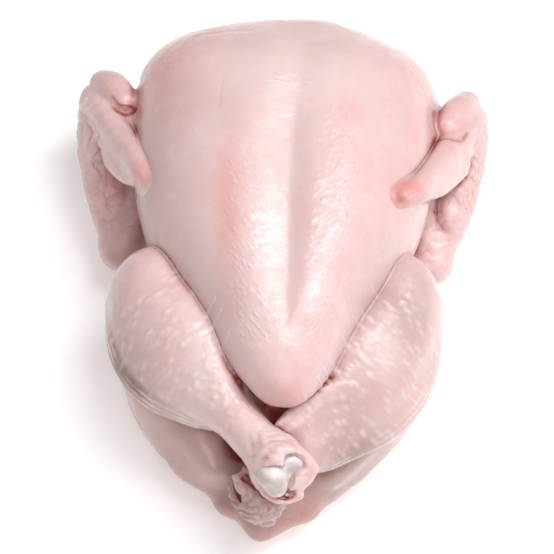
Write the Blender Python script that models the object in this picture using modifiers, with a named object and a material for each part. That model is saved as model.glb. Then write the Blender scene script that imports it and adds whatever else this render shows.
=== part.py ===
"""A whole raw chicken, dressed and lying on its back: one closed solid.

The bird lies breast up on z = 0. +Y runs from the tail to the neck, +X across the bird, and the origin is
under the middle of its bounding box. Each muscle mass is a closed mesh of its own: the breast and the back
are lofts, and the limbs are hulls drawn over balls, as skin is drawn over bone and muscle. A voxel remesh
fuses them into one skin, and Booleans then open the body cavity and flatten the back where it rests.

Lengths are in metres. "side" is -1 on the -X side and +1 on the +X side.
"""

import math

import bmesh
import bpy
import numpy as np
from mathutils import Matrix, Vector

# ---- Driving dimensions -------------------------------------------------------------------------------
BREAST_HALF_WIDTH = 0.073
BREAST_HEIGHT = 0.113
NECK_END_Y = 0.124
NECK_ROUNDING = 0.046
KEEL_TIP_Y = -0.091
KEEL_ROUNDING = 0.026
KEEL_GROOVE_DEPTH = 0.0045
PELVIS_END_Y = -0.116
PELVIS_HALF_WIDTH = 0.056

# The joints, by side: the bird lies a little unevenly. The hocks cross behind the keel, the -X leg on top.
HIPS = {-1: Vector((-0.046, -0.060, 0.027)), 1: Vector((0.044, -0.060, 0.027))}
KNEES = {-1: Vector((-0.0590, -0.029, 0.059)), 1: Vector((0.0555, -0.026, 0.059))}
HOCKS = {-1: Vector((0.0030, -0.114, 0.071)), 1: Vector((-0.0055, -0.120, 0.050))}
SHOULDERS = {-1: Vector((-0.050, 0.088, 0.044)), 1: Vector((0.050, 0.088, 0.044))}
ELBOWS = {-1: Vector((-0.0800, 0.020, 0.023)), 1: Vector((0.0735, 0.020, 0.024))}
WRISTS = {-1: Vector((-0.0950, 0.089, 0.050)), 1: Vector((0.0900, 0.087, 0.050))}
WING_TIPS = {-1: Vector((-0.0685, 0.032, 0.080)), 1: Vector((0.0575, 0.016, 0.097))}
THUMBS = {-1: Vector((-0.0810, 0.082, 0.068)), 1: Vector((0.0775, 0.073, 0.071))}

# Radii down each leg: the thigh under the knee, at the hip and at its inner end, then the drumstick's muscle.
THIGH_RADII = {-1: (0.0220, 0.0245, 0.0180), 1: (0.0200, 0.0225, 0.0145)}
DRUMSTICK_RADII = {-1: (0.0222, 0.0230, 0.0180, 0.0125), 1: (0.0205, 0.0225, 0.0180, 0.0125)}
SHANK_RADII = (0.0150, 0.0130, 0.0106, 0.0112)

# The stretched skin outside each drumstick: points along its edge.
SKIN_EDGES = {
    -1: [
        (-0.0765, -0.040, 0.051),
        (-0.0735, -0.052, 0.051),
        (-0.0585, -0.073, 0.053),
        (-0.0340, -0.086, 0.056),
    ],
    1: [
        (0.0715, -0.042, 0.050),
        (0.0680, -0.060, 0.050),
        (0.0495, -0.084, 0.048),
        (0.0260, -0.098, 0.045),
    ],
}
SKIN_EDGE_RADIUS = 0.0042

VENT_HALF_WIDTH = 0.027
CAVITY_HALF_WIDTH = 0.041
CAVITY_START_Y = -0.140
CAVITY_END_Y = 0.056
CAVITY_ROUNDING = 0.055

# ---- How finely the solid is made ---------------------------------------------------------------------
RING_POINTS = 56
RING_STEP = 0.004
VOXEL = 0.0022
BLEND_ROUNDS = 11
FINAL_SMOOTHING = 4
TRIANGLES = 9300

SKIN_COLOUR = (0.86, 0.62, 0.59, 1.0)


# ---- Meshes -------------------------------------------------------------------------------------------
def mesh_object(name, bm, collection):
    """A new object of this name that holds bm's mesh."""
    bmesh.ops.recalc_face_normals(bm, faces=bm.faces)
    mesh = bpy.data.meshes.new(name)
    bm.to_mesh(mesh)
    bm.free()
    obj = bpy.data.objects.new(name, mesh)
    collection.objects.link(obj)
    return obj


def add_hull(bm, balls):
    """Adds the convex hull of balls, each (centre, radius), to bm."""
    ball = bmesh.new()
    bmesh.ops.create_icosphere(ball, subdivisions=3, radius=1.0)
    unit = [v.co.copy() for v in ball.verts]
    ball.free()
    made = [bm.verts.new(Vector(centre) + radius * p) for centre, radius in balls for p in unit]
    hull = bmesh.ops.convex_hull(bm, input=made, use_existing_faces=False)
    unused = set(hull["geom_interior"] + hull["geom_unused"])
    inside = [element for element in unused if isinstance(element, bmesh.types.BMVert)]
    bmesh.ops.delete(bm, geom=inside, context="VERTS")


def add_chain(bm, balls):
    """Adds a limb through balls: the hull of each ball and the next."""
    for pair in zip(balls, balls[1:]):
        add_hull(bm, pair)


def add_loft(bm, rings):
    """Adds a closed skin through rings of as many points each."""
    loops = [[bm.verts.new(p) for p in ring] for ring in rings]
    for first, second in zip(loops, loops[1:]):
        for i in range(len(first)):
            j = (i + 1) % len(first)
            bm.faces.new((first[i], first[j], second[j], second[i]))
    bm.faces.new(reversed(loops[0]))
    bm.faces.new(loops[-1])


# ---- Sections of the lofts ----------------------------------------------------------------------------
def smooth_curve(stations):
    """A smooth function through (y, value) stations, flat beyond the ends."""
    ys, values = (np.array(column, float) for column in zip(*sorted(stations)))
    slopes = np.gradient(values, ys)

    def value_at(y):
        y = min(max(y, ys[0]), ys[-1])
        i = min(int(np.searchsorted(ys, y, side="right")) - 1, len(ys) - 2)
        span = ys[i + 1] - ys[i]
        t = (y - ys[i]) / span
        return float(
            values[i] * (2 * t**3 - 3 * t**2 + 1)
            + slopes[i] * span * (t**3 - 2 * t**2 + t)
            + values[i + 1] * (3 * t**2 - 2 * t**3)
            + slopes[i + 1] * span * (t**3 - t**2)
        )

    return value_at


def rounded_end(y, start, end, power=2.3):
    """How much of its section is left at y on a form that rounds off between start and end."""
    t = min(max((y - start) / (end - start), 0.0), 1.0)
    return (1.0 - t**power) ** (1.0 / power)


def section(y, half_width, low, high, widest, shares, power):
    """A ring at y: an upright superellipse from low to high, widest at that height, shrunk to shares."""
    middle = (low + high) / 2
    ring = []
    for i in range(RING_POINTS):
        a = 2 * math.pi * i / RING_POINTS
        c, s = math.cos(a), math.sin(a)
        x = half_width * math.copysign(abs(c) ** (2 / power), c)
        reach = high - widest if s > 0 else widest - low
        z = widest + reach * math.copysign(abs(s) ** (2 / power), s)
        ring.append(Vector((x * shares[0], y, middle + (z - middle) * shares[1])))
    return ring


def levels(start, end, step):
    """Values from start to end, closer together towards both ends, where the forms round off."""
    count = max(4, round(abs(end - start) / step))
    return [start + (end - start) * (0.5 - 0.5 * math.cos(math.pi * i / count)) for i in range(count + 1)]


# ---- The bird's masses --------------------------------------------------------------------------------
def add_breast(bm):
    """Ribs and breast muscles: a shield from above, and in profile a prow that narrows to the keel's tip."""
    half_width = smooth_curve(
        [
            (NECK_END_Y, 0.95 * BREAST_HALF_WIDTH),
            (0.100, 0.99 * BREAST_HALF_WIDTH),
            (0.065, BREAST_HALF_WIDTH),
            (0.031, 0.97 * BREAST_HALF_WIDTH),
            (-0.003, 0.83 * BREAST_HALF_WIDTH),
            (-0.020, 0.70 * BREAST_HALF_WIDTH),
            (-0.045, 0.51 * BREAST_HALF_WIDTH),
            (-0.062, 0.39 * BREAST_HALF_WIDTH),
            (KEEL_TIP_Y, 0.23 * BREAST_HALF_WIDTH),
        ]
    )
    high = smooth_curve(
        [
            (NECK_END_Y, 0.84 * BREAST_HEIGHT),
            (0.100, 0.92 * BREAST_HEIGHT),
            (0.065, 0.98 * BREAST_HEIGHT),
            (0.031, BREAST_HEIGHT),
            (-0.003, 0.995 * BREAST_HEIGHT),
            (-0.045, 0.96 * BREAST_HEIGHT),
            (KEEL_TIP_Y, 0.84 * BREAST_HEIGHT),
        ]
    )
    low = smooth_curve(
        [
            (NECK_END_Y, 0.010),
            (0.090, 0.0),
            (0.0, 0.0),
            (-0.020, 0.008),
            (-0.045, 0.022),
            (-0.062, 0.040),
            (KEEL_TIP_Y, 0.064),
        ]
    )
    rings = []
    for y in levels(NECK_END_Y, KEEL_TIP_Y, RING_STEP)[1:-1]:
        tip = rounded_end(y, KEEL_TIP_Y + KEEL_ROUNDING, KEEL_TIP_Y, 2.4)
        wide = tip * rounded_end(y, NECK_END_Y - NECK_ROUNDING, NECK_END_Y, 3.3)
        tall = tip * rounded_end(y, NECK_END_Y - NECK_ROUNDING, NECK_END_Y, 2.15)
        bottom, top = low(y), high(y)
        squareness = 2.15 + 0.35 * min(max((y - 0.04) / 0.06, 0.0), 1.0)
        widest = bottom + 0.56 * (top - bottom)
        ring = section(y, half_width(y), bottom, top, widest, (wide, tall), squareness)
        rings.append([groove_keel(p) for p in ring])
    add_loft(bm, rings)


def groove_keel(p):
    """Lowers a point of the breast's top into the shallow valley between the two breast muscles."""
    depth = KEEL_GROOVE_DEPTH * math.exp(-((p.x / 0.011) ** 2)) * min(max((0.095 - p.y) / 0.06, 0.0), 1.0)
    on_top = min(max((p.z - 0.085) / 0.02, 0.0), 1.0)
    towards_tip = min(max((p.y + 0.085) / 0.03, 0.0), 1.0)
    return Vector((p.x, p.y, p.z - depth * on_top * towards_tip))


def add_pelvis(bm):
    """The flat back and pelvis, under the cavity."""
    half_width = smooth_curve(
        [
            (0.030, 0.98 * PELVIS_HALF_WIDTH),
            (-0.050, PELVIS_HALF_WIDTH),
            (-0.085, 0.84 * PELVIS_HALF_WIDTH),
            (PELVIS_END_Y, 0.52 * PELVIS_HALF_WIDTH),
        ]
    )
    high = smooth_curve([(0.030, 0.066), (-0.040, 0.056), (-0.080, 0.042), (PELVIS_END_Y, 0.030)])
    rings = []
    for y in levels(0.030, PELVIS_END_Y, RING_STEP)[1:-1]:
        share = rounded_end(y, 0.0, 0.030) * rounded_end(y, -0.095, PELVIS_END_Y)
        rings.append(section(y, half_width(y), -0.001, high(y), 0.45 * high(y), (share, share), 2.4))
    add_loft(bm, rings)


def add_tail(bm):
    """The blunt, flattened tail stump."""
    for x in (-0.010, 0.006):
        add_chain(bm, [((x, -0.100, 0.015), 0.015), ((0.5 * x - 0.002, -0.1185, 0.012), 0.0088)])


def add_neck_skin(bm):
    """The loose neck skin, folded round the front end and under the back."""
    stages = [
        (0.028, 0.098, 0.074, 0.014),
        (0.032, 0.105, 0.047, 0.013),
        (0.033, 0.096, 0.018, 0.012),
        (0.026, 0.068, 0.0058, 0.0068),
    ]
    rows = [[((side * x, y, z), radius) for side in (-1, 1)] for x, y, z, radius in stages]
    for row, following in zip(rows, rows[1:]):
        add_hull(bm, row + following)


def along_leg(side):
    """A function that gives the point at a share of the way from this side's knee to its hock."""
    return lambda share: KNEES[side].lerp(HOCKS[side], share)


def add_leg(bm, side):
    """Thigh and drumstick, the skin drawn tight between them and the body."""
    hip, knee, at = HIPS[side], KNEES[side], along_leg(side)
    under_knee, inner_end = knee + Vector((0, 0, -0.018)), Vector((side * 0.035, -0.082, 0.020))
    add_hull(bm, list(zip((under_knee, hip, inner_end), THIGH_RADII[side])))
    add_chain(bm, list(zip((knee, at(0.25), at(0.48), at(0.66)), DRUMSTICK_RADII[side])))
    vent_edge = Vector((side * 0.034, -0.094, 0.036))
    add_hull(bm, [(hip, 0.012), (knee, 0.015), (vent_edge, 0.006), (at(0.70), 0.007)])


def add_skin_edge(bm, side):
    """The skin stretched from the drumstick's muscle out to the edge that it folds over."""
    at = along_leg(side)
    muscle = ((0.08, 0.016), (0.26, 0.016), (0.48, 0.012), (0.72, 0.008))
    inner = [(at(share), radius) for share, radius in muscle]
    outer = [(Vector(spot), SKIN_EDGE_RADIUS) for spot in SKIN_EDGES[side]]
    for i in range(len(outer) - 1):
        add_hull(bm, inner[i : i + 2] + outer[i : i + 2])


def add_shank(bm, side):
    """The thin end of the drumstick and its two-knobbed hock, which stand clear of the vent."""
    hock, at = HOCKS[side], along_leg(side)
    along = (hock - KNEES[side]).normalized()
    across = along.cross(Vector((0, 0, 1))).normalized()
    add_chain(bm, list(zip((at(0.40), at(0.62), at(0.78), hock - 0.003 * along), SHANK_RADII)))
    for way in (-1, 1):
        add_hull(bm, [(hock + way * 0.0050 * across + 0.0035 * along, 0.0084)])


def add_vent_flap(bm):
    """The flap of skin left of the vent's cut edge, from the keel's tip to the +X leg."""
    inner = [((0.0, -0.0935, 0.0690), 0.0026), ((0.006, -0.0970, 0.0640), 0.0030)]
    outer = [((0.021, -0.0790, 0.0715), 0.0036), ((0.018, -0.0930, 0.0590), 0.0036)]
    add_hull(bm, inner + outer)


def add_wing(bm, side):
    """A folded wing: upper arm back to the elbow, forearm forward to the wrist, hand back over the breast."""
    shoulder, elbow, wrist = SHOULDERS[side], ELBOWS[side], WRISTS[side]
    tip, thumb = WING_TIPS[side], THUMBS[side]
    add_chain(bm, [(shoulder, 0.0215), (shoulder.lerp(elbow, 0.5), 0.0170), (elbow, 0.0115)])
    add_chain(bm, [(elbow, 0.0110), (elbow.lerp(wrist, 0.45), 0.0125), (wrist, 0.0100)])
    add_hull(bm, [(elbow, 0.009), (shoulder.lerp(elbow, 0.35), 0.009), (elbow.lerp(wrist, 0.75), 0.008)])
    palm = wrist.lerp(tip, 0.5) + Vector((-side * 0.002, 0, 0.002))
    add_chain(bm, [(wrist + Vector((0, 0, 0.006)), 0.0095), (palm, 0.0095), (tip, 0.0056)])
    add_hull(bm, [(wrist + Vector((-side * 0.003, 0.002, 0.010)), 0.0080), (thumb, 0.0068)])


def add_body(bm):
    """Every mass that the cavity is cut into."""
    add_breast(bm)
    add_pelvis(bm)
    add_tail(bm)
    add_neck_skin(bm)
    for side in (-1, 1):
        add_leg(bm, side)
        add_skin_edge(bm, side)
        add_wing(bm, side)


def add_over_vent(bm):
    """What crosses over the opened vent."""
    add_shank(bm, -1)
    add_shank(bm, 1)
    add_vent_flap(bm)


def add_cavity(bm):
    """The hollow of the body, as a solid to cut with: narrow at the vent, wide under the breast."""
    half_width = smooth_curve(
        [
            (CAVITY_START_Y, 1.05 * VENT_HALF_WIDTH),
            (-0.095, VENT_HALF_WIDTH),
            (-0.060, 0.82 * CAVITY_HALF_WIDTH),
            (-0.010, CAVITY_HALF_WIDTH),
            (0.050, 0.80 * CAVITY_HALF_WIDTH),
        ]
    )
    low = smooth_curve([(CAVITY_START_Y, 0.033), (-0.095, 0.028), (-0.040, 0.021), (0.050, 0.026)])
    high = smooth_curve(
        [
            (CAVITY_START_Y, 0.048),
            (-0.112, 0.056),
            (-0.095, 0.075),
            (-0.050, 0.080),
            (0.0, 0.084),
            (0.050, 0.080),
        ]
    )
    rings = []
    for y in levels(CAVITY_START_Y, CAVITY_END_Y, RING_STEP)[:-1]:
        share = rounded_end(y, CAVITY_END_Y - CAVITY_ROUNDING, CAVITY_END_Y)
        rings.append(section(y, half_width(y), low(y), high(y), (low(y) + high(y)) / 2, (share, share), 2.3))
    add_loft(bm, rings)


# ---- Fusing and cutting -------------------------------------------------------------------------------
def skin_material():
    """Raw chicken skin: pale, moist and slightly glossy."""
    material = bpy.data.materials.new("raw_skin")
    material.use_nodes = True
    shader = material.node_tree.nodes["Principled BSDF"]
    shader.inputs["Base Color"].default_value = SKIN_COLOUR
    shader.inputs["Roughness"].default_value = 0.4
    shader.inputs["Metallic"].default_value = 0.0
    return material


def remesh(obj, name, voxel):
    """A voxel remesh, which fuses overlapping shells into one."""
    modifier = obj.modifiers.new(name, "REMESH")
    modifier.mode = "VOXEL"
    modifier.voxel_size = voxel
    modifier.use_smooth_shade = True


def smooth(obj, name, rounds):
    """Softens creases and rims, as skin does over the muscles."""
    modifier = obj.modifiers.new(name, "SMOOTH")
    modifier.factor = 0.5
    modifier.iterations = rounds


def cut(obj, name, cutter):
    """Cuts cutter's shape out of obj."""
    modifier = obj.modifiers.new(name, "BOOLEAN")
    modifier.operation = "DIFFERENCE"
    modifier.object = cutter
    modifier.solver = "EXACT"


def as_cutter(obj):
    """Marks a helper that is no part of the bird."""
    obj.hide_render = True
    obj.display_type = "WIRE"
    return obj


def baked(obj):
    """obj with its modifiers applied, as a plain mesh."""
    graph = bpy.context.evaluated_depsgraph_get()
    mesh = bpy.data.meshes.new_from_object(obj.evaluated_get(graph))
    obj.modifiers.clear()
    old, obj.data = obj.data, mesh
    bpy.data.meshes.remove(old)


def triangle_count(obj):
    """How many triangles obj's mesh holds."""
    return sum(len(face.vertices) - 2 for face in obj.data.polygons)


def centre_on_origin(obj):
    """Shifts the mesh so that the origin is under the middle of its bounding box."""
    xs, ys = ([v.co[axis] for v in obj.data.vertices] for axis in (0, 1))
    shift = Vector((-(min(xs) + max(xs)) / 2, -(min(ys) + max(ys)) / 2, 0.0))
    obj.data.transform(Matrix.Translation(shift))
    return shift


def make_chicken(collection, cutters):
    """The whole bird as one object."""
    bm = bmesh.new()
    add_body(bm)
    chicken = mesh_object("chicken", bm, collection)

    bm = bmesh.new()
    add_cavity(bm)
    cavity = as_cutter(mesh_object("cavity_cutter", bm, cutters))

    remesh(chicken, "Fuse", VOXEL)
    smooth(chicken, "Blend", BLEND_ROUNDS)
    cut(chicken, "Cavity", cavity)
    baked(chicken)

    bm = bmesh.new()
    bm.from_mesh(chicken.data)
    add_over_vent(bm)
    bm.to_mesh(chicken.data)
    bm.free()
    remesh(chicken, "Close", VOXEL)
    smooth(chicken, "Soften", FINAL_SMOOTHING)
    baked(chicken)

    thin = chicken.modifiers.new("Thin", "DECIMATE")
    thin.ratio = TRIANGLES / triangle_count(chicken)
    baked(chicken)
    shift = centre_on_origin(chicken)
    cavity.data.transform(Matrix.Translation(shift))

    bpy.ops.mesh.primitive_cube_add(size=1.0, location=(0, 0, -0.05))
    table = as_cutter(bpy.context.active_object)
    table.name = "table_cutter"
    table.scale = (0.5, 0.5, 0.1)
    bpy.context.collection.objects.unlink(table)
    cutters.objects.link(table)
    cut(chicken, "Rest", table)

    chicken.data.materials.clear()
    chicken.data.materials.append(skin_material())
    chicken.data.shade_smooth()
    return chicken


def main():
    """Clears the scene and models the bird."""
    for obj in list(bpy.data.objects):
        bpy.data.objects.remove(obj)
    collections = []
    for name in ("Raw chicken", "Cutters"):
        made = bpy.data.collections.new(name)
        bpy.context.scene.collection.children.link(made)
        collections.append(made)
    make_chicken(*collections)


main()
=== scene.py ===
"""Whole raw chicken: the looks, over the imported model.

The bird is modelled the way a sculptor would block it in: muscle masses of clay are pressed together on a
distance grid, blended where skin drapes over them and left creased where two masses only touch, and the grid is
then skinned. Body, drumsticks and forewings are skins of their own, because their edges are real creases.

Clay is measured in millimetres in the bird's own frame: +Y from tail to neck, +X to the side whose leg lies
underneath, +Z up out of the breast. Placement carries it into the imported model's frame, in metres.
"""

import logging
import math
from collections.abc import Callable, Sequence
from dataclasses import dataclass, field
from enum import Enum

import bpy
import numpy as np
import openvdb
from mathutils import Matrix, Vector

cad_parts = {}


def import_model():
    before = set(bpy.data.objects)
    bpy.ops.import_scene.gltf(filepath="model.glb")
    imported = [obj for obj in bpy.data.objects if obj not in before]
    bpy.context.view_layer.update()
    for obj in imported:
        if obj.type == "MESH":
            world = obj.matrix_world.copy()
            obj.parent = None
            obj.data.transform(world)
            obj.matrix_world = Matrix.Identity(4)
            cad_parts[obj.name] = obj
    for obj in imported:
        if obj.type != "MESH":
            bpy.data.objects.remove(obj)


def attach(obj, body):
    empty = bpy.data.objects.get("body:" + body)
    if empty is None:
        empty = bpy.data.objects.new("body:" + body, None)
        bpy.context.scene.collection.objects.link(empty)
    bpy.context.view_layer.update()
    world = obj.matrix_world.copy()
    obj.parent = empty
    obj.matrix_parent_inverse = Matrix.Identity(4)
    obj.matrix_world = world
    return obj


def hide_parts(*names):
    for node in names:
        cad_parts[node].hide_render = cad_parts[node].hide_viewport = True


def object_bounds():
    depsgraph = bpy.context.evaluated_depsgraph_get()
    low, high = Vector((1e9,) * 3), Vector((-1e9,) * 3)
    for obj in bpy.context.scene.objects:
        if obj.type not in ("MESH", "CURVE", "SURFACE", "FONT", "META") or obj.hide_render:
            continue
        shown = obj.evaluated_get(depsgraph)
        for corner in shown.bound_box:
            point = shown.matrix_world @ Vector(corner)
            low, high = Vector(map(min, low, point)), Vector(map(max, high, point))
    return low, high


LOG = logging.getLogger("raw_chicken")
Triple = tuple[float, float, float]
Array = np.ndarray
FAR = 30.0  # mm: clay further than this from a surface is simply "far"


# ---- Curves and clay ----------------------------------------------------------------------------------------
def smooth_step(value: Array, low: float, high: float) -> Array:
    """0 below low, 1 above high, and a soft S between.

    Args:
        value: Where to read it.
        low: Where it leaves 0.
        high: Where it reaches 1.

    Returns:
        The step at each value.
    """
    t = np.clip((value - low) / (high - low), 0.0, 1.0)
    return t * t * (3.0 - 2.0 * t)


def hermite(at: Array, knots: Array, values: Array) -> Array:
    """A smooth curve through values at rising knots, flat beyond the ends.

    Args:
        at: Where to read the curve.
        knots: Rising positions.
        values: One row or number for each knot.

    Returns:
        The curve at each position.
    """
    slopes = np.gradient(values, knots, axis=0)
    at = np.clip(at, knots[0], knots[-1])
    i = np.clip(np.searchsorted(knots, at, side="right") - 1, 0, len(knots) - 2)
    span = knots[i + 1] - knots[i]
    t = (at - knots[i]) / span
    if values.ndim > 1:
        t, span = t[:, None], span[:, None]
    return (
        values[i] * (2 * t**3 - 3 * t**2 + 1)
        + slopes[i] * span * (t**3 - 2 * t**2 + t)
        + values[i + 1] * (3 * t**2 - 2 * t**3)
        + slopes[i + 1] * span * (t**3 - t**2)
    )


def ripples(points: Array, wavelength: float, seed: int, waves: int = 9) -> Array:
    """Soft irregular lumps: waves of one length in many directions, summed.

    Args:
        points: Positions, one a row, in mm.
        wavelength: Typical distance between lumps, in mm.
        seed: Which irregular pattern.
        waves: How many directions.

    Returns:
        About -1 to 1 at each point.
    """
    rng = np.random.default_rng(seed)
    ways = rng.normal(size=(waves, 3))
    ways *= (2 * math.pi / wavelength) * rng.uniform(0.75, 1.3, (waves, 1)) / np.linalg.norm(ways, axis=1, keepdims=True)
    return np.sin(points @ ways.T + rng.uniform(0, 2 * math.pi, waves)).sum(axis=1) / math.sqrt(waves)


class Form:
    """A solid form of clay."""

    def bounds(self) -> tuple[Array, Array]:
        """Its lowest and highest corners."""
        raise NotImplementedError

    def distance(self, x: Array, y: Array, z: Array) -> Array:
        """How far each place is outside the form, in mm, negative inside."""
        raise NotImplementedError


@dataclass(frozen=True)
class Ball(Form):
    """An ellipsoid, which may be turned about its centre."""

    centre: Triple
    radii: Triple
    turn: Triple = (0.0, 0.0, 0.0)  # degrees about X, Y and Z

    def bounds(self) -> tuple[Array, Array]:
        """Its lowest and highest corners."""
        centre, reach = np.array(self.centre), max(self.radii)
        return centre - reach, centre + reach

    def distance(self, x: Array, y: Array, z: Array) -> Array:
        """How far each place is outside the ellipsoid."""
        turn = np.array(_turned(self.turn))
        away = [axis - c for axis, c in zip((x, y, z), self.centre)]
        local = [sum(turn[row, i] * away[row] for row in range(3)) / self.radii[i] for i in range(3)]
        level = np.sqrt(sum(v * v for v in local)) + 1e-9
        steep = np.sqrt(sum((v / r) ** 2 for v, r in zip(local, self.radii))) / level + 1e-9
        return np.clip((level - 1.0) / steep, -FAR, FAR)


def _turned(degrees: Triple) -> list[list[float]]:
    """A rotation matrix for turns about X, then Y, then Z."""
    matrix = Matrix.Identity(3)
    for axis, angle in zip("XYZ", degrees):
        matrix = Matrix.Rotation(math.radians(angle), 3, axis) @ matrix
    return [list(row) for row in matrix]


@dataclass(frozen=True)
class Limb(Form):
    """A form of changing thickness along a smooth path, which may be flattened one way."""

    path: Sequence[Triple]
    radii: Sequence[float]
    flat: float = 1.0  # thickness along flat_way as a share of the width
    flat_way: Triple = (0.0, 0.0, 1.0)
    steps: int = 5

    def spine(self) -> tuple[Array, Array]:
        """Close points along the path, and the radius at each."""
        knots = np.arange(len(self.path), dtype=float)
        at = np.linspace(0, len(self.path) - 1, (len(self.path) - 1) * self.steps + 1)
        points = np.array(self.path, float)
        radii = np.array(self.radii, float)
        if len(self.path) == 2:
            mix = at[:, None]
            return points[0] * (1 - mix) + points[1] * mix, radii[0] * (1 - at) + radii[1] * at
        return hermite(at, knots, points), hermite(at, knots, radii)

    def bounds(self) -> tuple[Array, Array]:
        """Its lowest and highest corners."""
        points, radii = self.spine()
        return (points - radii[:, None]).min(axis=0), (points + radii[:, None]).max(axis=0)

    def distance(self, x: Array, y: Array, z: Array) -> Array:
        """How far each place is outside the form."""
        points, radii = self.spine()
        way = np.array(self.flat_way, float)
        way /= np.linalg.norm(way)
        best = np.full(np.broadcast_shapes(x.shape, y.shape, z.shape), FAR, np.float32)
        for a, b, ra, rb in zip(points, points[1:], radii, radii[1:]):
            axis = b - a
            away = [v - c for v, c in zip((x, y, z), a)]
            t = np.clip(sum(v * c for v, c in zip(away, axis)) / (axis @ axis), 0.0, 1.0)
            away = [v - t * c for v, c in zip(away, axis)]
            square = sum(v * v for v in away)
            if self.flat != 1.0:
                lift = sum(v * c for v, c in zip(away, way))
                stretch = 1.0 / self.flat**2
                near = np.sqrt(square + (stretch - 1.0) * lift**2) + 1e-9
                steep = np.sqrt(square + (stretch**2 - 1.0) * lift**2) / near + 1e-9
                reach = (near - (ra + (rb - ra) * t)) / np.maximum(steep, 1.0)
            else:
                reach = np.sqrt(square) - (ra + (rb - ra) * t)
            best = np.minimum(best, reach)
        return best


@dataclass(frozen=True)
class Trunk(Form):
    """A trunk of upright rounded sections along Y, each end rounded over."""

    stations: Sequence[tuple[float, float, float, float, float]]  # y, middle x, half width, bottom, top
    rounding: tuple[tuple[float, float], tuple[float, float]]  # (start, end) in y, at the tail and at the neck
    widest: float = 0.56  # share of the height at which a section is widest
    power: float = 2.08
    plan_power: float = 3.2  # how square the neck end is from above
    side_power: float = 2.15  # and from the side

    def bounds(self) -> tuple[Array, Array]:
        """Its lowest and highest corners."""
        table = np.array(self.stations)
        half = (table[:, 2] + np.abs(table[:, 1])).max()
        return (
            np.array([-half, self.rounding[0][1], table[:, 3].min()]),
            np.array([half, self.rounding[1][1], table[:, 4].max()]),
        )

    def distance(self, x: Array, y: Array, z: Array) -> Array:
        """How far each place is outside the trunk."""
        table = np.array(sorted(self.stations))
        rows = hermite(y.ravel(), table[:, 0], table[:, 1:])
        centre, half, bottom, top = (rows[:, i].reshape(y.shape) for i in range(4))
        middle = bottom + self.widest * (top - bottom)
        across = np.abs(x - centre) / half
        up = np.where(z > middle, (z - middle) / (top - middle), (middle - z) / (middle - bottom))
        ring = (across**self.power + up**self.power) ** (1 / self.power)
        (tail_start, tail_end), (neck_start, neck_end) = self.rounding
        out = np.maximum((y - tail_start) / (tail_end - tail_start), (y - neck_start) / (neck_end - neck_start))
        out = np.maximum(out, 0.0)
        share = up / (across + up + 1e-6)
        power = np.where(y > 0, self.plan_power + (self.side_power - self.plan_power) * share, 2.4)
        level = (ring**power + out**power) ** (1 / power)
        pitch = float(abs(y.ravel()[1] - y.ravel()[0]))
        steep = np.sqrt(sum(g**2 for g in np.gradient(level, pitch)))
        return np.clip((level - 1.0) / np.maximum(steep, 0.004), -FAR, FAR)


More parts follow.
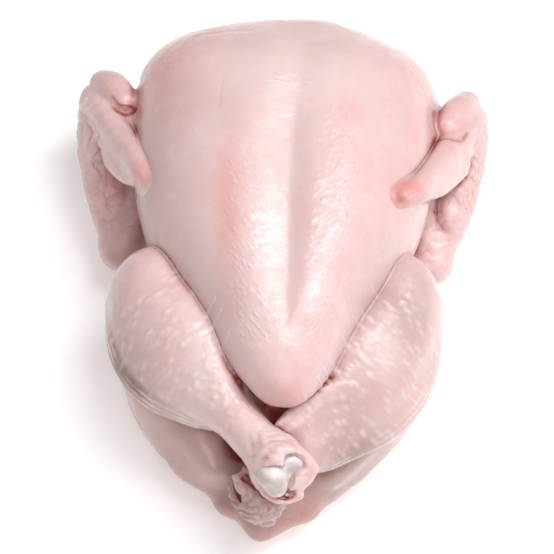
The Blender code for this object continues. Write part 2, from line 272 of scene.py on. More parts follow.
class Clay:
    """A block of clay: signed distances on a grid, in mm, negative inside."""

    def __init__(self, low: Triple, high: Triple, pitch: float) -> None:
        """Empty clay between two corners.

        Args:
            low: Lowest corner.
            high: Highest corner.
            pitch: Grid spacing.
        """
        self.low, self.pitch = np.array(low, float), pitch
        counts = np.ceil((np.array(high) - self.low) / pitch).astype(int) + 1
        self.field = np.full(tuple(counts), FAR, np.float32)

    def _window(self, low: Array, high: Array) -> tuple[tuple[slice, ...], list[Array]]:
        """The part of the grid between two corners, and its coordinates."""
        first = np.clip(np.floor((low - self.low) / self.pitch).astype(int), 0, np.array(self.field.shape) - 2)
        last = np.clip(np.ceil((high - self.low) / self.pitch).astype(int) + 1, first + 2, self.field.shape)
        window = tuple(slice(a, b) for a, b in zip(first, last))
        axes = [self.low[i] + self.pitch * np.arange(first[i], last[i]) for i in range(3)]
        return window, [a.astype(np.float32).reshape([-1 if i == k else 1 for k in range(3)]) for i, a in enumerate(axes)]

    def add(self, form: Form, blend: float | Callable[[Array, Array, Array], Array] = 4.0) -> "Clay":
        """Presses a form on, blending it in over this many mm.

        Args:
            form: What to add.
            blend: The width of the blend, or a function that gives it at each place.

        Returns:
            This clay.
        """
        low, high = form.bounds()
        window, axes = self._window(low - 16.0, high + 16.0)
        width = np.maximum(blend(*axes) if callable(blend) else blend, 1e-3)
        old, new = self.field[window], form.distance(*axes)
        lap = np.maximum(width - np.abs(old - new), 0.0)
        self.field[window] = np.minimum(old, new) - lap * lap / (4 * width)
        return self

    def carve(self, form: Form, blend: float = 2.0) -> "Clay":
        """Cuts a form out, rounding its rim over this many mm."""
        low, high = form.bounds()
        window, axes = self._window(low - 8.0, high + 8.0)
        old, new = self.field[window], -form.distance(*axes)
        lap = np.maximum(blend - np.abs(old - new), 0.0)
        self.field[window] = np.maximum(old, new) + lap * lap / (4 * blend)
        return self

    def join(self, other: "Clay", blend: float) -> "Clay":
        """Presses on clay of the same grid."""
        lap = np.maximum(blend - np.abs(self.field - other.field), 0.0)
        self.field = np.minimum(self.field, other.field) - lap * lap / (4 * blend)
        return self

    def press(self, path: Sequence[Triple], width: float, heights: float | Sequence[float], sharp: bool = False) -> "Clay":
        """Raises a soft ridge along a path, or sinks a groove where its height is negative.

        Args:
            path: Points on the surface that it follows.
            width: How far it reaches to each side.
            heights: How far it raises the surface at its middle, all along or at each point.
            sharp: Whether its middle comes to a line, as a crease does.

        Returns:
            This clay.
        """
        heights = [heights] * len(path) if isinstance(heights, (int, float)) else heights
        points, height = Limb(path, heights).spine()
        window, axes = self._window(points.min(axis=0) - 2.5 * width, points.max(axis=0) + 2.5 * width)
        nearest = np.full(self.field[window].shape, 1e9, np.float32)
        raised = np.zeros_like(nearest)
        for a, b, ha, hb in zip(points, points[1:], height, height[1:]):
            away = [v - c for v, c in zip(axes, a)]
            t = np.clip(sum(v * c for v, c in zip(away, b - a)) / ((b - a) @ (b - a)), 0.0, 1.0)
            square = sum((v - t * c) ** 2 for v, c in zip(away, b - a))
            raised = np.where(square < nearest, ha + (hb - ha) * t, raised)
            nearest = np.minimum(nearest, square)
        away = np.sqrt(nearest) / width
        self.field[window] -= raised * (np.maximum(1.0 - away, 0.0) ** 1.5 if sharp else np.exp(-away * away))
        return self

    def soften(self, times: int) -> "Clay":
        """Rubs the surface smooth, by about a grid step each time."""
        for _ in range(times):
            for axis in range(3):
                field = np.swapaxes(self.field, 0, axis)
                field[1:-1] = 0.5 * field[1:-1] + 0.25 * (field[:-2] + field[2:])
        return self

    def copy(self) -> "Clay":
        """Another block of the same clay."""
        other = object.__new__(Clay)
        other.low, other.pitch, other.field = self.low, self.pitch, self.field.copy()
        return other

    def axes(self) -> list[Array]:
        """The grid's x, y and z, shaped to be combined."""
        axes = [self.low[i] + self.pitch * np.arange(self.field.shape[i]) for i in range(3)]
        return [a.astype(np.float32).reshape([-1 if i == k else 1 for k in range(3)]) for i, a in enumerate(axes)]

    def heights(self) -> Array:
        """The grid's z."""
        return self.axes()[2]

    def near(self, points: Array) -> Array:
        """The clay's distance at each point, or far where the grid doesn't reach."""
        high = self.low + self.pitch * (np.array(self.field.shape) - 1)
        inside = ((points >= self.low) & (points <= high)).all(axis=1)
        found = np.full(len(points), FAR)
        found[inside] = self.read(points[inside])
        return found

    def cast(self, other: "Clay") -> Array:
        """This clay's distances, read at another block's grid."""
        x, y, z = other.axes()
        grid = np.stack(np.broadcast_arrays(x, y, z), axis=-1).reshape(-1, 3)
        return self.read(grid).reshape(other.field.shape).astype(np.float32)

    def flatten_below(self, height: float) -> "Clay":
        """Cuts everything off below this height, where the bird rests."""
        z = self.low[2] + self.pitch * np.arange(self.field.shape[2])
        self.field = np.maximum(self.field, (height - z)[None, None, :].astype(np.float32))
        return self

    def skin(self) -> tuple[Array, Array]:
        """The clay's surface.

        Returns:
            Points in mm, and faces of four points each.
        """
        grid = openvdb.FloatGrid(FAR)
        grid.copyFromArray(self.field)
        points, quads = grid.convertToQuads(0.0)
        return np.asarray(points) * self.pitch + self.low, np.asarray(quads)

    def read(self, points: Array) -> Array:
        """The clay's distance at each point, read between grid places."""
        spot = (points - self.low) / self.pitch
        base = np.clip(np.floor(spot).astype(int), 0, np.array(self.field.shape) - 2)
        t = np.clip(spot - base, 0.0, 1.0)
        found = np.zeros(len(points))
        for corner in range(8):
            bit = np.array([corner & 1, corner >> 1 & 1, corner >> 2 & 1])
            weight = np.prod(np.where(bit, t, 1 - t), axis=1)
            found += weight * self.field[tuple((base + bit).T)]
        return found


# ---- The bird's landmarks -----------------------------------------------------------------------------------
class Side(Enum):
    """The bird's two sides: the -X leg crosses over the +X leg."""

    OVER = -1
    UNDER = 1


@dataclass(frozen=True)
class Joints:
    """Where one side's joints are, in mm."""

    hip: Triple
    knee: Triple
    hock: Triple
    shoulder: Triple
    elbow: Triple
    wrist: Triple
    wing_tip: Triple
    thumb: Triple


JOINTS = {
    Side.OVER: Joints(
        hip=(-46, -60, 27), knee=(-59, -29, 59), hock=(3, -114, 71),
        shoulder=(-50, 88, 44), elbow=(-80, 20, 23), wrist=(-95, 89, 50), wing_tip=(-68.5, 32, 80), thumb=(-81, 82, 68),
    ),
    Side.UNDER: Joints(
        hip=(44, -60, 27), knee=(55.5, -26, 59), hock=(-5.5, -120, 50),
        shoulder=(50, 88, 44), elbow=(73.5, 20, 24), wrist=(90, 87, 50), wing_tip=(57.5, 16, 97), thumb=(77.5, 73, 71),
    ),
}
FOLDS = {
    Side.OVER: [(-79.5, -27, 51), (-77.5, -40, 51), (-74.3, -52, 51), (-68, -64, 51), (-58.6, -74, 53), (-47, -81, 55), (-33, -87, 57)],
    Side.UNDER: [(73.5, -26, 50), (72.3, -44, 50), (68.6, -61, 50), (60.5, -75.5, 50), (49.5, -85.5, 48), (35.5, -93, 46), (24, -100, 44)],
}
BELLIES = {
    Side.OVER: (7, 10.5, 14.5, 16.5, 14.8, 11, 7),
    Side.UNDER: (6, 11.5, 15.5, 15.5, 13.5, 10.5, 7),
}
MUSCLES = {
    Side.OVER: (17, 22.0, 22.6, 17.2, 11.8, 10.6, 11.4),
    Side.UNDER: (13, 20.0, 22.4, 18.0, 12.2, 10.6, 11.4),
}


@dataclass(frozen=True)
class Hand:
    """The outer part of one wing: finger, the lobe of skin along it, the web behind it, thumb, and skin under it."""

    finger: tuple[Triple, ...]
    finger_radii: tuple[float, ...]
    lobe: tuple[Triple, ...]
    web: tuple[Triple, ...]
    thumb: tuple[Triple, ...]
    palm: Triple


HANDS = {
    Side.OVER: Hand(
        finger=((-92.4, 82.5, 56), (-83.1, 62.8, 64), (-75.5, 48.6, 71), (-69.5, 35.8, 78), (-66.8, 29.5, 81)),
        finger_radii=(8.0, 7.8, 7.2, 6.4, 5.0),
        lobe=((-88, 64, 56), (-83.0, 50.0, 61), (-75.5, 38.5, 67), (-70, 31.5, 73)),
        web=((-93, 78, 51), (-90, 66, 48), (-87, 55, 45), (-86, 47, 42)),
        thumb=((-91.6, 93.2, 59), (-85.3, 87.7, 64), (-80.7, 79.6, 67)),
        palm=(-83, 44.5, 38),
    ),
    Side.UNDER: Hand(
        finger=((89, 82.6, 56), (81.2, 63.6, 65), (72.4, 43.5, 77), (63.5, 27.3, 88), (56.2, 16.9, 96)),
        finger_radii=(8.0, 7.8, 7.0, 5.2, 2.8),
        lobe=((87, 66, 56), (81.5, 51, 63), (72.5, 35.5, 74), (64.5, 24, 84)),
        web=((92, 76, 51), (91, 66, 48), (89, 56, 46), (84, 47, 50)),
        thumb=((87, 89.5, 60), (82, 80.8, 65), (77.7, 72, 69)),
        palm=(81, 41, 41),
    ),
}
NOMINAL_SIZE = (203.1, 257.2, 111.1)  # mm: the box that these landmarks fill
NOMINAL_MIDDLE = (-2.5, -4.85)


def between(a: Triple, b: Triple, share: float, shift: Triple = (0, 0, 0)) -> Triple:
    """A point this share of the way from a to b, then shifted."""
    return tuple(p + share * (q - p) + s for p, q, s in zip(a, b, shift))


@dataclass(frozen=True)
class Placement:
    """Carries the bird's own frame, in mm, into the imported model's, in metres."""

    scale: Triple
    middle: tuple[float, float]
    floor: float

    @classmethod
    def into(cls, low: Sequence[float], high: Sequence[float]) -> "Placement":
        """The placement that fills a box in metres.

        Args:
            low: The box's lowest corner.
            high: Its highest corner.

        Returns:
            The placement.
        """
        scale = tuple((b - a) / size for a, b, size in zip(low, high, NOMINAL_SIZE))
        return cls(scale, ((low[0] + high[0]) / 2, (low[1] + high[1]) / 2), low[2])

    def points(self, points: Array) -> Array:
        """Points in mm, one a row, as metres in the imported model's frame."""
        shift = np.array([*NOMINAL_MIDDLE, 0.0])
        return (np.asarray(points, float) - shift) * self.scale + np.array([*self.middle, self.floor])

    def point(self, point: Triple) -> Vector:
        """One point, placed."""
        return Vector(self.points(np.array([point]))[0])


# ---- The bird's masses --------------------------------------------------------------------------------------
@dataclass
class Carcass:
    """Breast, back, thighs, upper wings and tail in one clay, with the open cavity.

    It is skinned in two halves that overlap by a few millimetres at the waist, where each slips under the other.
    """

    pitch: float = 1.35
    waist: float = 44.0  # height at which the upper half starts
    overlap: float = 10.0
    slip: float = 0.2  # how far each half's edge slips under the other
    breast: Trunk = Trunk(
        stations=(
            (124, -1, 69.5, 10, 95), (100, -1.3, 72.5, 2, 104), (65, -1.2, 73.0, 0, 110.5), (31, -1.3, 71, 0, 112.8),
            (-3, -1.6, 60.8, 2, 112.4), (-20, -0.3, 51.2, 8, 111), (-45, 0.5, 37, 22, 108), (-62, 0.5, 27.5, 40, 104),
            (-80, 2.0, 19.0, 57, 99), (-92, 2.5, 15.5, 64, 94),
        ),
        rounding=((-64, -89.8), (76, 124)),
    )
    back: Trunk = Trunk(
        stations=((30, 0, 55, -1, 66), (-40, 0, 56, -1, 56), (-80, 0, 47, -1, 42), (-116, 0, 27, 1, 28)),
        rounding=((-92, -116), (0, 32)),
        widest=0.45,
    )
    cavity: Trunk = Trunk(
        stations=(
            (-140, 0, 28, 33, 48), (-112, 0, 28, 30, 56), (-95, 0, 27, 27, 75), (-60, 0, 33, 22, 84),
            (-10, 0, 41, 21, 86), (50, 0, 33, 26, 80),
        ),
        rounding=((-150, -170), (0, 56)),
        widest=0.5,
    )

    def model(self) -> Clay:
        """The whole carcass in clay."""
        clay = Clay((-100, -140, -6), (95, 135, 120), self.pitch)
        clay.add(self.breast, 1.0)
        clay.add(self.back, 10.0)
        self._tail(clay)
        self._neck(clay)
        for side, joints in JOINTS.items():
            self._thigh(clay, side, joints)
            self._upper_wing(clay, side, joints)
        clay.soften(2)
        self._keel(clay)
        self._wrinkles(clay)
        clay.carve(self.cavity, 4.0)
        return clay.flatten_below(0.0)

    def _tail(self, clay: Clay) -> None:
        """The flat, blunt tail."""
        clay.add(Limb([(-1, -94, 16), (-2.5, -108, 14), (-5, -119, 11)], [20, 16, 8.0], flat=0.60), 7.0)
        clay.add(Ball((13, -111, 14), (9, 6, 6)), 5.0)
        clay.add(Ball((-20, -108, 14), (8, 7, 6)), 5.0)

    def _neck(self, clay: Clay) -> None:
        """The neck skin, drawn over the front end and tucked under the back."""
        clay.add(Ball((-43, 88, 68), (24, 22, 26)), 12.0)
        clay.add(Limb([(-24, 98, 74), (4, 103, 77), (26, 99, 74)], [13, 14, 13]), 16.0)
        clay.add(Limb([(-30, 104, 46), (0, 108, 48), (30, 104, 46)], [12, 12, 12]), 14.0)
        clay.add(Limb([(-34, 94, 18), (0, 98, 17), (34, 94, 18)], [11, 12, 11]), 16.0)
        clay.press([(-36, 96, 30), (-12, 108, 31), (14, 108, 29), (38, 96, 32)], 4.0, [-0.4, -1.6, -1.6, -0.4])

    def _thigh(self, clay: Clay, side: Side, joints: Joints) -> None:
        """The thigh, which lies under the drumstick, and its skin down to the vent."""
        way = side.value
        under_knee = between(joints.knee, joints.knee, 0.0, (0, 0, -18))
        radii = (22, 24.5, 18) if side is Side.OVER else (19, 22.0, 13.5)
        clay.add(Limb([(*under_knee[:2], 40), joints.hip, (way * 35, -82, 20)], radii), 8.0)
        clay.add(Limb([(way * 52, -60, 38), (way * 36, -84, 35), (way * 28, -97, 31)], [15, 11, 7]), 8.0)

    def _upper_wing(self, clay: Clay, side: Side, joints: Joints) -> None:
        """The upper wing, and the web of skin from it to the shoulder and the wrist."""
        way = side.value
        upper = [joints.shoulder, between(joints.shoulder, joints.elbow, 0.5, (way * 2, 0, -1)), joints.elbow]
        clay.add(Limb(upper, [22, 16.0, 10.5]), lambda x, y, z: 2.5 + 9.0 * smooth_step(y + 0 * x, 62.0, 90.0))
        web = [between(joints.shoulder, joints.wrist, 0.2), between(joints.shoulder, joints.wrist, 0.75, (0, -6, 0))]
        clay.add(Limb(web, [13, 9], flat=0.7), 7.0)
        inner = [between(joints.elbow, joints.wrist, share, (-way * 7, 0, -5)) for share in (0.1, 0.5, 0.85)]
        clay.add(Limb(inner, [6.5, 9.5, 10.5]), 6.0)
        corner = between(joints.shoulder, joints.wrist, 0.55, (0, -22, 8))
        clay.add(Ball(corner, (10, 14, 12)), 5.0)

    def _keel(self, clay: Clay) -> None:
        """The valley along the keel, between the two breast muscles."""
        x, y, z = clay.axes()
        knots = np.array([-84, -72, -55, -34, 10, 50, 80, 100, 112], float)
        bottom = hermite(y.ravel(), knots, np.array([3, 2.8, 2.6, 2.2, 1.2, 2.5, 5, 6, 6])).reshape(y.shape)
        depth = hermite(y.ravel(), knots, np.array([0, 0.8, 2.4, 4.0, 4.4, 4.2, 2.2, 0.7, 0])).reshape(y.shape)
        side = x - bottom
        slope = np.clip(1 + side / 25.0, 0.0, 1.0)
        slope = np.where(slope < 0.4, slope**2 / 0.8, slope - 0.2) / 0.8
        share = np.where(side < 0, slope, np.exp(-(np.sqrt(side**2 + 1.0) - 1.0) / 8.5))
        clay.field += (depth * share * smooth_step(z, 78.0, 92.0)).astype(np.float32)
        clay.press([(-22, 60, 111), (-20, 0, 113), (-15, -42, 109)], 13.0, 0.4)
        clay.press([(24, 60, 111), (23, 0, 113), (19, -42, 109)], 15.0, 0.6)
        clay.press([(3.5, -60, 104), (3, -84, 97)], 9.0, 0.6)
        clay.press([(8, 105, 100), (7, 80, 108)], 9.0, -1.0)

    def _wrinkles(self, clay: Clay) -> None:
        """The soft folds where the neck skin is drawn over."""
        clay.press([(-50, 103, 86), (-38, 107, 89), (-20, 108, 92)], 2.4, [0.2, 0.9, 0.2])
        clay.press([(-48, 99, 90), (-34, 102, 93), (-18, 104, 95)], 2.4, [-0.2, -0.8, -0.2])
        clay.press([(3, 109, 92), (10, 112, 92), (18, 113, 90)], 2.2, [0.2, 0.9, 0.2])
        clay.press([(8, 96, 98), (16, 99, 98), (26, 100, 97)], 2.6, [-0.2, -0.7, -0.2])

    def halves(self, clay: Clay) -> tuple[Clay, Clay]:
        """The upper and the lower half of the carcass.

        Args:
            clay: The whole carcass.

        Returns:
            The upper half's clay and the lower half's.
        """
        z = clay.heights()
        share = smooth_step(z, self.waist, self.waist + self.overlap)
        upper, lower = clay.copy(), clay.copy()
        upper.field = np.maximum(clay.field + self.slip * (1 - share), self.waist - z)
        lower.field = np.maximum(clay.field + self.slip * share, z - self.waist - self.overlap - 4)
        return upper, lower


@dataclass
class Drumstick:
    """One drumstick with its shank and the cut hock."""

    side: Side
    pitch: float = 0.8
    stops: Sequence[float] = (-0.10, 0.0, 0.25, 0.48, 0.66, 0.82, 1.0)  # where along the leg each radius is

    def axes(self) -> tuple[Array, Array, Array]:
        """Unit vectors along the leg towards the hock, across it in plan, and out of it upwards."""
        joints = JOINTS[self.side]
        along = np.array(joints.hock, float) - np.array(joints.knee)
        along /= np.linalg.norm(along)
        across = np.cross(along, (0, 0, 1))
        across /= np.linalg.norm(across)
        return along, across, np.cross(across, along)

    def at_hock(self, along: float, across: float, up: float) -> Triple:
        """A point given in the leg's own axes from the hock, in mm."""
        axes = self.axes()
        hock = np.array(JOINTS[self.side].hock, float)
        return tuple(hock + along * axes[0] + across * axes[1] + up * axes[2])

    def model(self, carcass: Clay) -> Clay:
        """The drumstick's clay, its knee run into the thigh.

        Args:
            carcass: The body it lies on.

        Returns:
            The clay.
        """
        knee, hock = JOINTS[self.side].knee, JOINTS[self.side].hock
        out = self.side.value
        path = [
            between(knee, hock, -0.10, (-out, 0, 2)), between(knee, knee, 0, (-out, 0, 0)),
            between(knee, hock, 0.25, (-out * 1.5, 0, 1.5)),
            between(knee, hock, 0.48, (out * 0.5, 0, 0)), between(knee, hock, 0.66, (out * 3.0, 0, 0)),
            between(knee, hock, 0.82, (out * 3.0, 0, 0)), hock,
        ]
        muscle = Limb(path, MUSCLES[self.side])
        low, high = muscle.bounds()
        clay = Clay(tuple(low - 12), tuple(high + 8), self.pitch)
        clay.add(muscle, 1.0)
        clay.add(Ball(between(knee, knee, 0, (-out * 1, 15, 8)), (9.5, 10, 9)), 12.0)
        clay.add(Limb(self._belly(0.45), BELLIES[self.side]), 10.0)
        clay.soften(4)
        self._fold(clay)
        if self.side is Side.UNDER:
            self._vent_flap(clay)
        self._cuff(clay)
        self._root(clay, carcass)
        return clay

    def _belly(self, share: float) -> list[Triple]:
        """Points this share of the way from the leg's axis out to its fold."""
        knee, along = np.array(JOINTS[self.side].knee, float), self.axes()[0]
        axis = [knee + along * ((np.array(p) - knee) @ along) for p in FOLDS[self.side]]
        return [between(tuple(a), p, share) for a, p in zip(axis, FOLDS[self.side])]

    def _fold(self, clay: Clay) -> None:
        """The thin skin stretched along the outer side, from the knee towards the vent."""
        path = FOLDS[self.side]
        inner = [tuple(np.array(p) + (-self.side.value * 3.5, 2.5, -1.0)) for p in path]
        clay.add(Limb(path, [2.0, 3.2, 4.0, 4.2, 4.0, 3.2, 1.6]), 7.0)
        clay.add(Limb(inner, [2.0, 4.5, 6.0, 6.5, 6.0, 4.6, 2.2]), 7.0)

    def _vent_flap(self, clay: Clay) -> None:
        """The loose skin of the vent, drawn thin from this leg up to the breast's tip."""
        way = (0.15, -0.55, 0.82)
        for path, radii in (
            ([(20, -79, 72), (8, -88, 70), (-0.5, -95.4, 68.4)], [5.0, 3.6, 1.4]),
            ([(26, -78, 70), (13, -88, 68), (4, -96, 66)], [8.0, 6.0, 3.0]),
            ([(30, -84, 62), (20, -91, 62), (9, -98, 60)], [9, 8, 5]),
        ):
            clay.add(Limb(path, radii, flat=0.4, flat_way=way), 4.0)
        clay.add(Limb([(17, -79, 74.6), (7, -87, 72.4), (-1.6, -95.6, 69.4)], [1.2, 1.1, 0.8]), 1.6)
        clay.press([(20, -84, 72), (12, -90, 69.5), (5, -96, 66.5)], 1.4, 0.9)
        clay.press([(16, -83, 73), (9, -90, 70), (2, -96, 67)], 1.4, -0.6)

    def _cuff(self, clay: Clay) -> None:
        """The cut end: skin drawn round the joint's knobs, cut back above and a thin lip below."""
        at = self.at_hock
        if self.side is Side.UNDER:
            self._puckered_end(clay)
            return
        clay.add(Ball(at(-1, 0.5, -1.0), (11.0, 12.4, 10.8)), 9.0)
        clay.add(Ball(at(8.0, -6.0, -3.5), (5.6, 5.2, 5.6)), 4.0)
        clay.carve(Ball(at(6.6, 7.0, 3.6), (8.4, 8.0, 7.6)), 1.0)
        clay.carve(Ball(at(10.5, 8.0, 0.5), (6.2, 5.6, 6.8)), 1.0)
        clay.carve(Ball(at(6.0, -3.5, 7.2), (7.4, 6.2, 5.0)), 1.0)
        rim = [at(-2.5, 12.5, 3), at(-4.6, 8, 8.6), at(-4.0, 2.5, 11), at(0, -4.5, 10.4), at(4.5, -9.5, 6), at(9.5, -10.5, 0)]
        clay.add(Limb(rim, [1.6, 1.8, 2.6, 2.4, 2.6, 3.2]), 3.0)
        lip = [at(-3.5, 13.2, -1.5), at(0.5, 13.8, -3), at(6.2, 12.8, -5.6), at(10.4, 10.6, -7.2), at(14, 5.2, -7.8), at(14.6, 0, -7)]
        clay.add(Limb(lip, [1.6, 1.5, 1.4, 1.3, 1.4, 2.2]), 2.0)
        clay.add(Limb([at(4, 8, -7), at(7, 4, -7), at(10, -1, -5.5)], [4.0, 4.0, 4.0]), 2.0)
        clay.add(Limb([at(7, -9, 0.5), at(9.5, -3.5, 1.6), at(11, 1, 0), at(12, 5, -4)], [2.4, 2.2, 1.9, 1.4]), 1.2)
        clay.press([at(11, 5.5, -1), at(12.6, 2.5, -4)], 1.0, -2.0)
        for path, height in (
            ([at(-15, 7, 9), at(-8, 10, 8), at(-4, 11, 6)], -0.7),
            ([at(-13, 1, 12), at(-8, 3.5, 12), at(-5, 4, 11)], 0.8),
            ([at(-14, -5, 11), at(-7, -4, 13), at(-3, -2.5, 12.5)], -0.6),
            ([at(-8, -10, 8), at(-3, -9.5, 9), at(1, -8, 9)], 0.7),
            ([at(-10, 12, 3), at(-5, 13, 2), at(1, 13.5, -1)], 0.6),
        ):
            clay.press(path, 1.7, height)
        clay.press([at(-1.8, 6.6, 10.2), at(-0.6, 5.6, 10.6), at(0.8, 5.6, 10.0)], 0.55, [-0.6, -1.4, -0.5])
        clay.press([at(-2.4, 1.4, 12.8), at(-2.9, 0.2, 12.8), at(-2.0, -1.2, 12.6)], 0.5, [-0.5, -1.2, -0.4])
        clay.add(Limb([at(-3, 1.8, 11.4), at(1, 1.8, 9.6), at(5, 1.4, 8.4)], [1.8, 1.6, 0.8]), 2.0)
        clay.add(Limb([at(-2.5, 8, 8.6), at(0, 7.4, 9.4), at(1.6, 6, 9.4)], [1.4, 1.0, 0.6]), 1.5)

    def _puckered_end(self, clay: Clay) -> None:
        """The under leg's cut end, where the skin has drawn together in wet puckers round a cleft."""
        at = self.at_hock
        clay.add(Ball(at(-0.5, 0, -0.5), (10.5, 12.6, 10.0)), 5.0)
        clay.add(Limb([at(4, 12, 0), at(8, 7, -0.5), at(9.4, 0, -2.5), at(6.5, -9, -5)], [3.2, 3.6, 3.6, 3.0]), 1.4)
        clay.add(Limb([at(1, 12, 6), at(4.2, 6, 8.2), at(4.5, -2, 7), at(1, -10, 3.5)], [2.8, 3.4, 3.0, 2.6]), 1.2)
        clay.add(Limb([at(-4, 11, 7), at(-3.5, 4, 10.4), at(-3, -5, 9.6)], [2.4, 2.6, 2.4]), 1.4)
        clay.press([at(4, 10.5, 4.5), at(8, 4, 4.0), at(7.5, -5, 1.5)], 2.4, -3.0, sharp=True)
        clay.press([at(0, 9, 9), at(1, 2, 10.5), at(0.5, -6, 8.5)], 1.8, -2.0, sharp=True)

    def _root(self, clay: Clay, carcass: Clay) -> None:
        """Runs the knee and the outer side of the drumstick into the thigh."""
        knee = np.array(JOINTS[self.side].knee, float)
        x, y, z = clay.axes()
        near = 1 - smooth_step(np.sqrt((x - knee[0]) ** 2 + (y - knee[1]) ** 2 + (z - knee[2] + 22) ** 2), 18.0, 42.0)
        body = np.maximum(carcass.cast(clay) + 0.15, clay.field - 12)
        blend = 1.0 + 8.0 * near
        lap = np.maximum(blend - np.abs(clay.field - body), 0.0)
        clay.field = np.minimum(clay.field, body) - lap * lap / (4 * blend)


@dataclass
class Forewing:
    """One forearm, wrist, thumb and hand, folded in a Z against the body."""

    side: Side
    pitch: float = 0.8

    def model(self, carcass: Clay) -> Clay:
        """The forewing's clay, its elbow run into the upper wing.

        Args:
            carcass: The body it lies on.

        Returns:
            The clay.
        """
        joints, way = JOINTS[self.side], self.side.value
        elbow, wrist, tip = joints.elbow, joints.wrist, joints.wing_tip
        forearm = Limb(
            [
                between(elbow, wrist, 0.0, (-way * 1.5, 1, 0)), between(elbow, wrist, 0.28, (way * 5.2, 0, 1)),
                between(elbow, wrist, 0.68, (way * 5.8, 0, 1)), wrist,
            ],
            [8.0, 7.2, 7.2, 8.8],
        )
        low, high = forearm.bounds()
        low, high = np.minimum(low, np.array(tip) - 12), np.maximum(high, np.array(tip) + 12)
        clay = Clay(tuple(low - 8), tuple(high + 12), self.pitch)
        clay.add(forearm, 1.0)
        hand = HANDS[self.side]
        clay.add(Limb(hand.finger, hand.finger_radii), 3.0)
        clay.add(Limb(hand.lobe, (4.6, 6.4, 5.6, 2.6)), 4.5)
        clay.add(Limb(hand.web, (5.5, 6.0, 5.0, 3.5)), 4.0)
        clay.add(Limb(hand.thumb, (7.2, 7.8, 5.4), flat=0.8, flat_way=(0, -0.3, 1)), 1.0)
        clay.add(Ball(hand.palm, (7.0, 11.0, 7.0)), 6.0)
        clay.soften(3)
        body = np.maximum(carcass.cast(clay) + 0.15, clay.field - 12)
        y = clay.axes()[1]
        blend = 1.2 + 5.0 * (1 - smooth_step(y, elbow[1], elbow[1] + 16)) + 4.0 * smooth_step(y, wrist[1] - 30, wrist[1] - 8)
        lap = np.maximum(blend - np.abs(clay.field - body), 0.0)
        clay.field = np.minimum(clay.field, body) - lap * lap / (4 * blend)
        return clay


@dataclass
class Knobs:
    """The bare ends of the leg bone at the cut hock."""

    leg: Drumstick
    pitch: float = 0.5

    def model(self) -> Clay:
        """The knobs' clay."""
        at = self.leg.at_hock
        centre = np.array(at(6, 0, 0))
        clay = Clay(tuple(centre - 19), tuple(centre + 19), self.pitch)
        clay.add(Ball(at(3.0, 7.0, 2.2), (8.0, 6.6, 7.0), (0, 0, -20)), 0.5)
        clay.add(Ball(at(8.0, 8.0, -0.5), (5.0, 4.8, 4.6)), 3.0)
        clay.add(Ball(at(2.6, -4.4, 2.6), (7.2, 6.2, 5.8), (10, 0, 15)), 2.5)
        clay.add(Ball(at(0.0, 0, 0), (8, 9, 7.5)), 2.0)
        clay.press([at(-1, 1.6, 9.6), at(6, 1.4, 8), at(11, 0.5, 2)], 2.2, -2.2, sharp=True)
        clay.press([at(3, -4, 10), at(9, -6.5, 6)], 3.0, -1.0)
        clay.press([at(0, 5, 10), at(5, 3, 9.5)], 1.5, 0.8)
        clay.press([at(3, 12, 6), at(8, 10, 4), at(11, 7, 2)], 1.6, -0.6)
        clay.soften(2)
        return clay


@dataclass
class CavityLining:
    """The membrane and flesh on the wall of the open cavity."""

    cavity: Trunk
    pitch: float = 1.8
    thickness: float = 1.6
    lumps: tuple[tuple[Triple, float], ...] = (
        ((-5, -82, 52), 9), ((-14, -76, 54), 9), ((-21, -64, 60), 8), ((4, -79, 50), 9), ((-10, -66, 56), 11),
        ((-24, -72, 50), 8), ((-3, -72, 48), 12), ((-26, -56, 54), 10), ((10, -70, 46), 12), ((-14, -86, 46), 7),
    )

    def model(self) -> Clay:
        """The lining's clay."""
        clay = Clay((-50, -112, 14), (50, 62, 92), self.pitch)
        x, y, z = clay.axes()
        wall = np.abs(self.cavity.distance(x, y, z) + 0.5) - self.thickness / 2
        clay.field = np.maximum(wall, 0.6 * np.maximum(z - 50, 0) - (y + 88)).astype(np.float32)
        for spot, size in self.lumps:
            clay.add(Ball(spot, (size, size * 0.85, size * 0.8), (20, 30, size * 40)), 1.5)
        return clay


# ---- Finishes -----------------------------------------------------------------------------------------------
def linear(hex_colour: str) -> tuple[float, float, float, float]:
    """An sRGB hex colour as linear RGBA."""
    parts = [int(hex_colour.lstrip("#")[i : i + 2], 16) / 255 for i in (0, 2, 4)]
    return (*(c / 12.92 if c <= 0.04045 else ((c + 0.055) / 1.055) ** 2.4 for c in parts), 1.0)


def add_node(tree: bpy.types.NodeTree, kind: str, inputs: dict | None = None, **settings) -> bpy.types.Node:
    """Adds a node with its settings, and its inputs set or linked.

    Args:
        tree: The tree it goes in.
        kind: The node's type.
        inputs: Socket name or number to a value, or to an output socket to link from.
        **settings: The node's own properties.

    Returns:
        The new node.
    """
    node = tree.nodes.new(kind)
    for name, value in settings.items():
        setattr(node, name, value)
    for socket, value in (inputs or {}).items():
        if isinstance(value, bpy.types.NodeSocket):
            tree.links.new(value, node.inputs[socket])
        else:
            node.inputs[socket].default_value = value
    return node


def mix_colour(tree: bpy.types.NodeTree, share: object, a: object, b: object, blend: str = "MIX") -> bpy.types.NodeSocket:
    """The output of a colour mix of a and b."""
    node = add_node(tree, "ShaderNodeMix", data_type="RGBA", blend_type=blend, clamp_factor=True)
    for socket, value in ((node.inputs[0], share), (node.inputs[6], a), (node.inputs[7], b)):
        if isinstance(value, bpy.types.NodeSocket):
            tree.links.new(value, socket)
        else:
            socket.default_value = value
    return node.outputs[2]


def math_node(tree: bpy.types.NodeTree, operation: str, a: object, b: object = 0.0, clamp: bool = False) -> bpy.types.NodeSocket:
    """The output of a two-number calculation."""
    return add_node(tree, "ShaderNodeMath", {0: a, 1: b}, operation=operation, use_clamp=clamp).outputs[0]


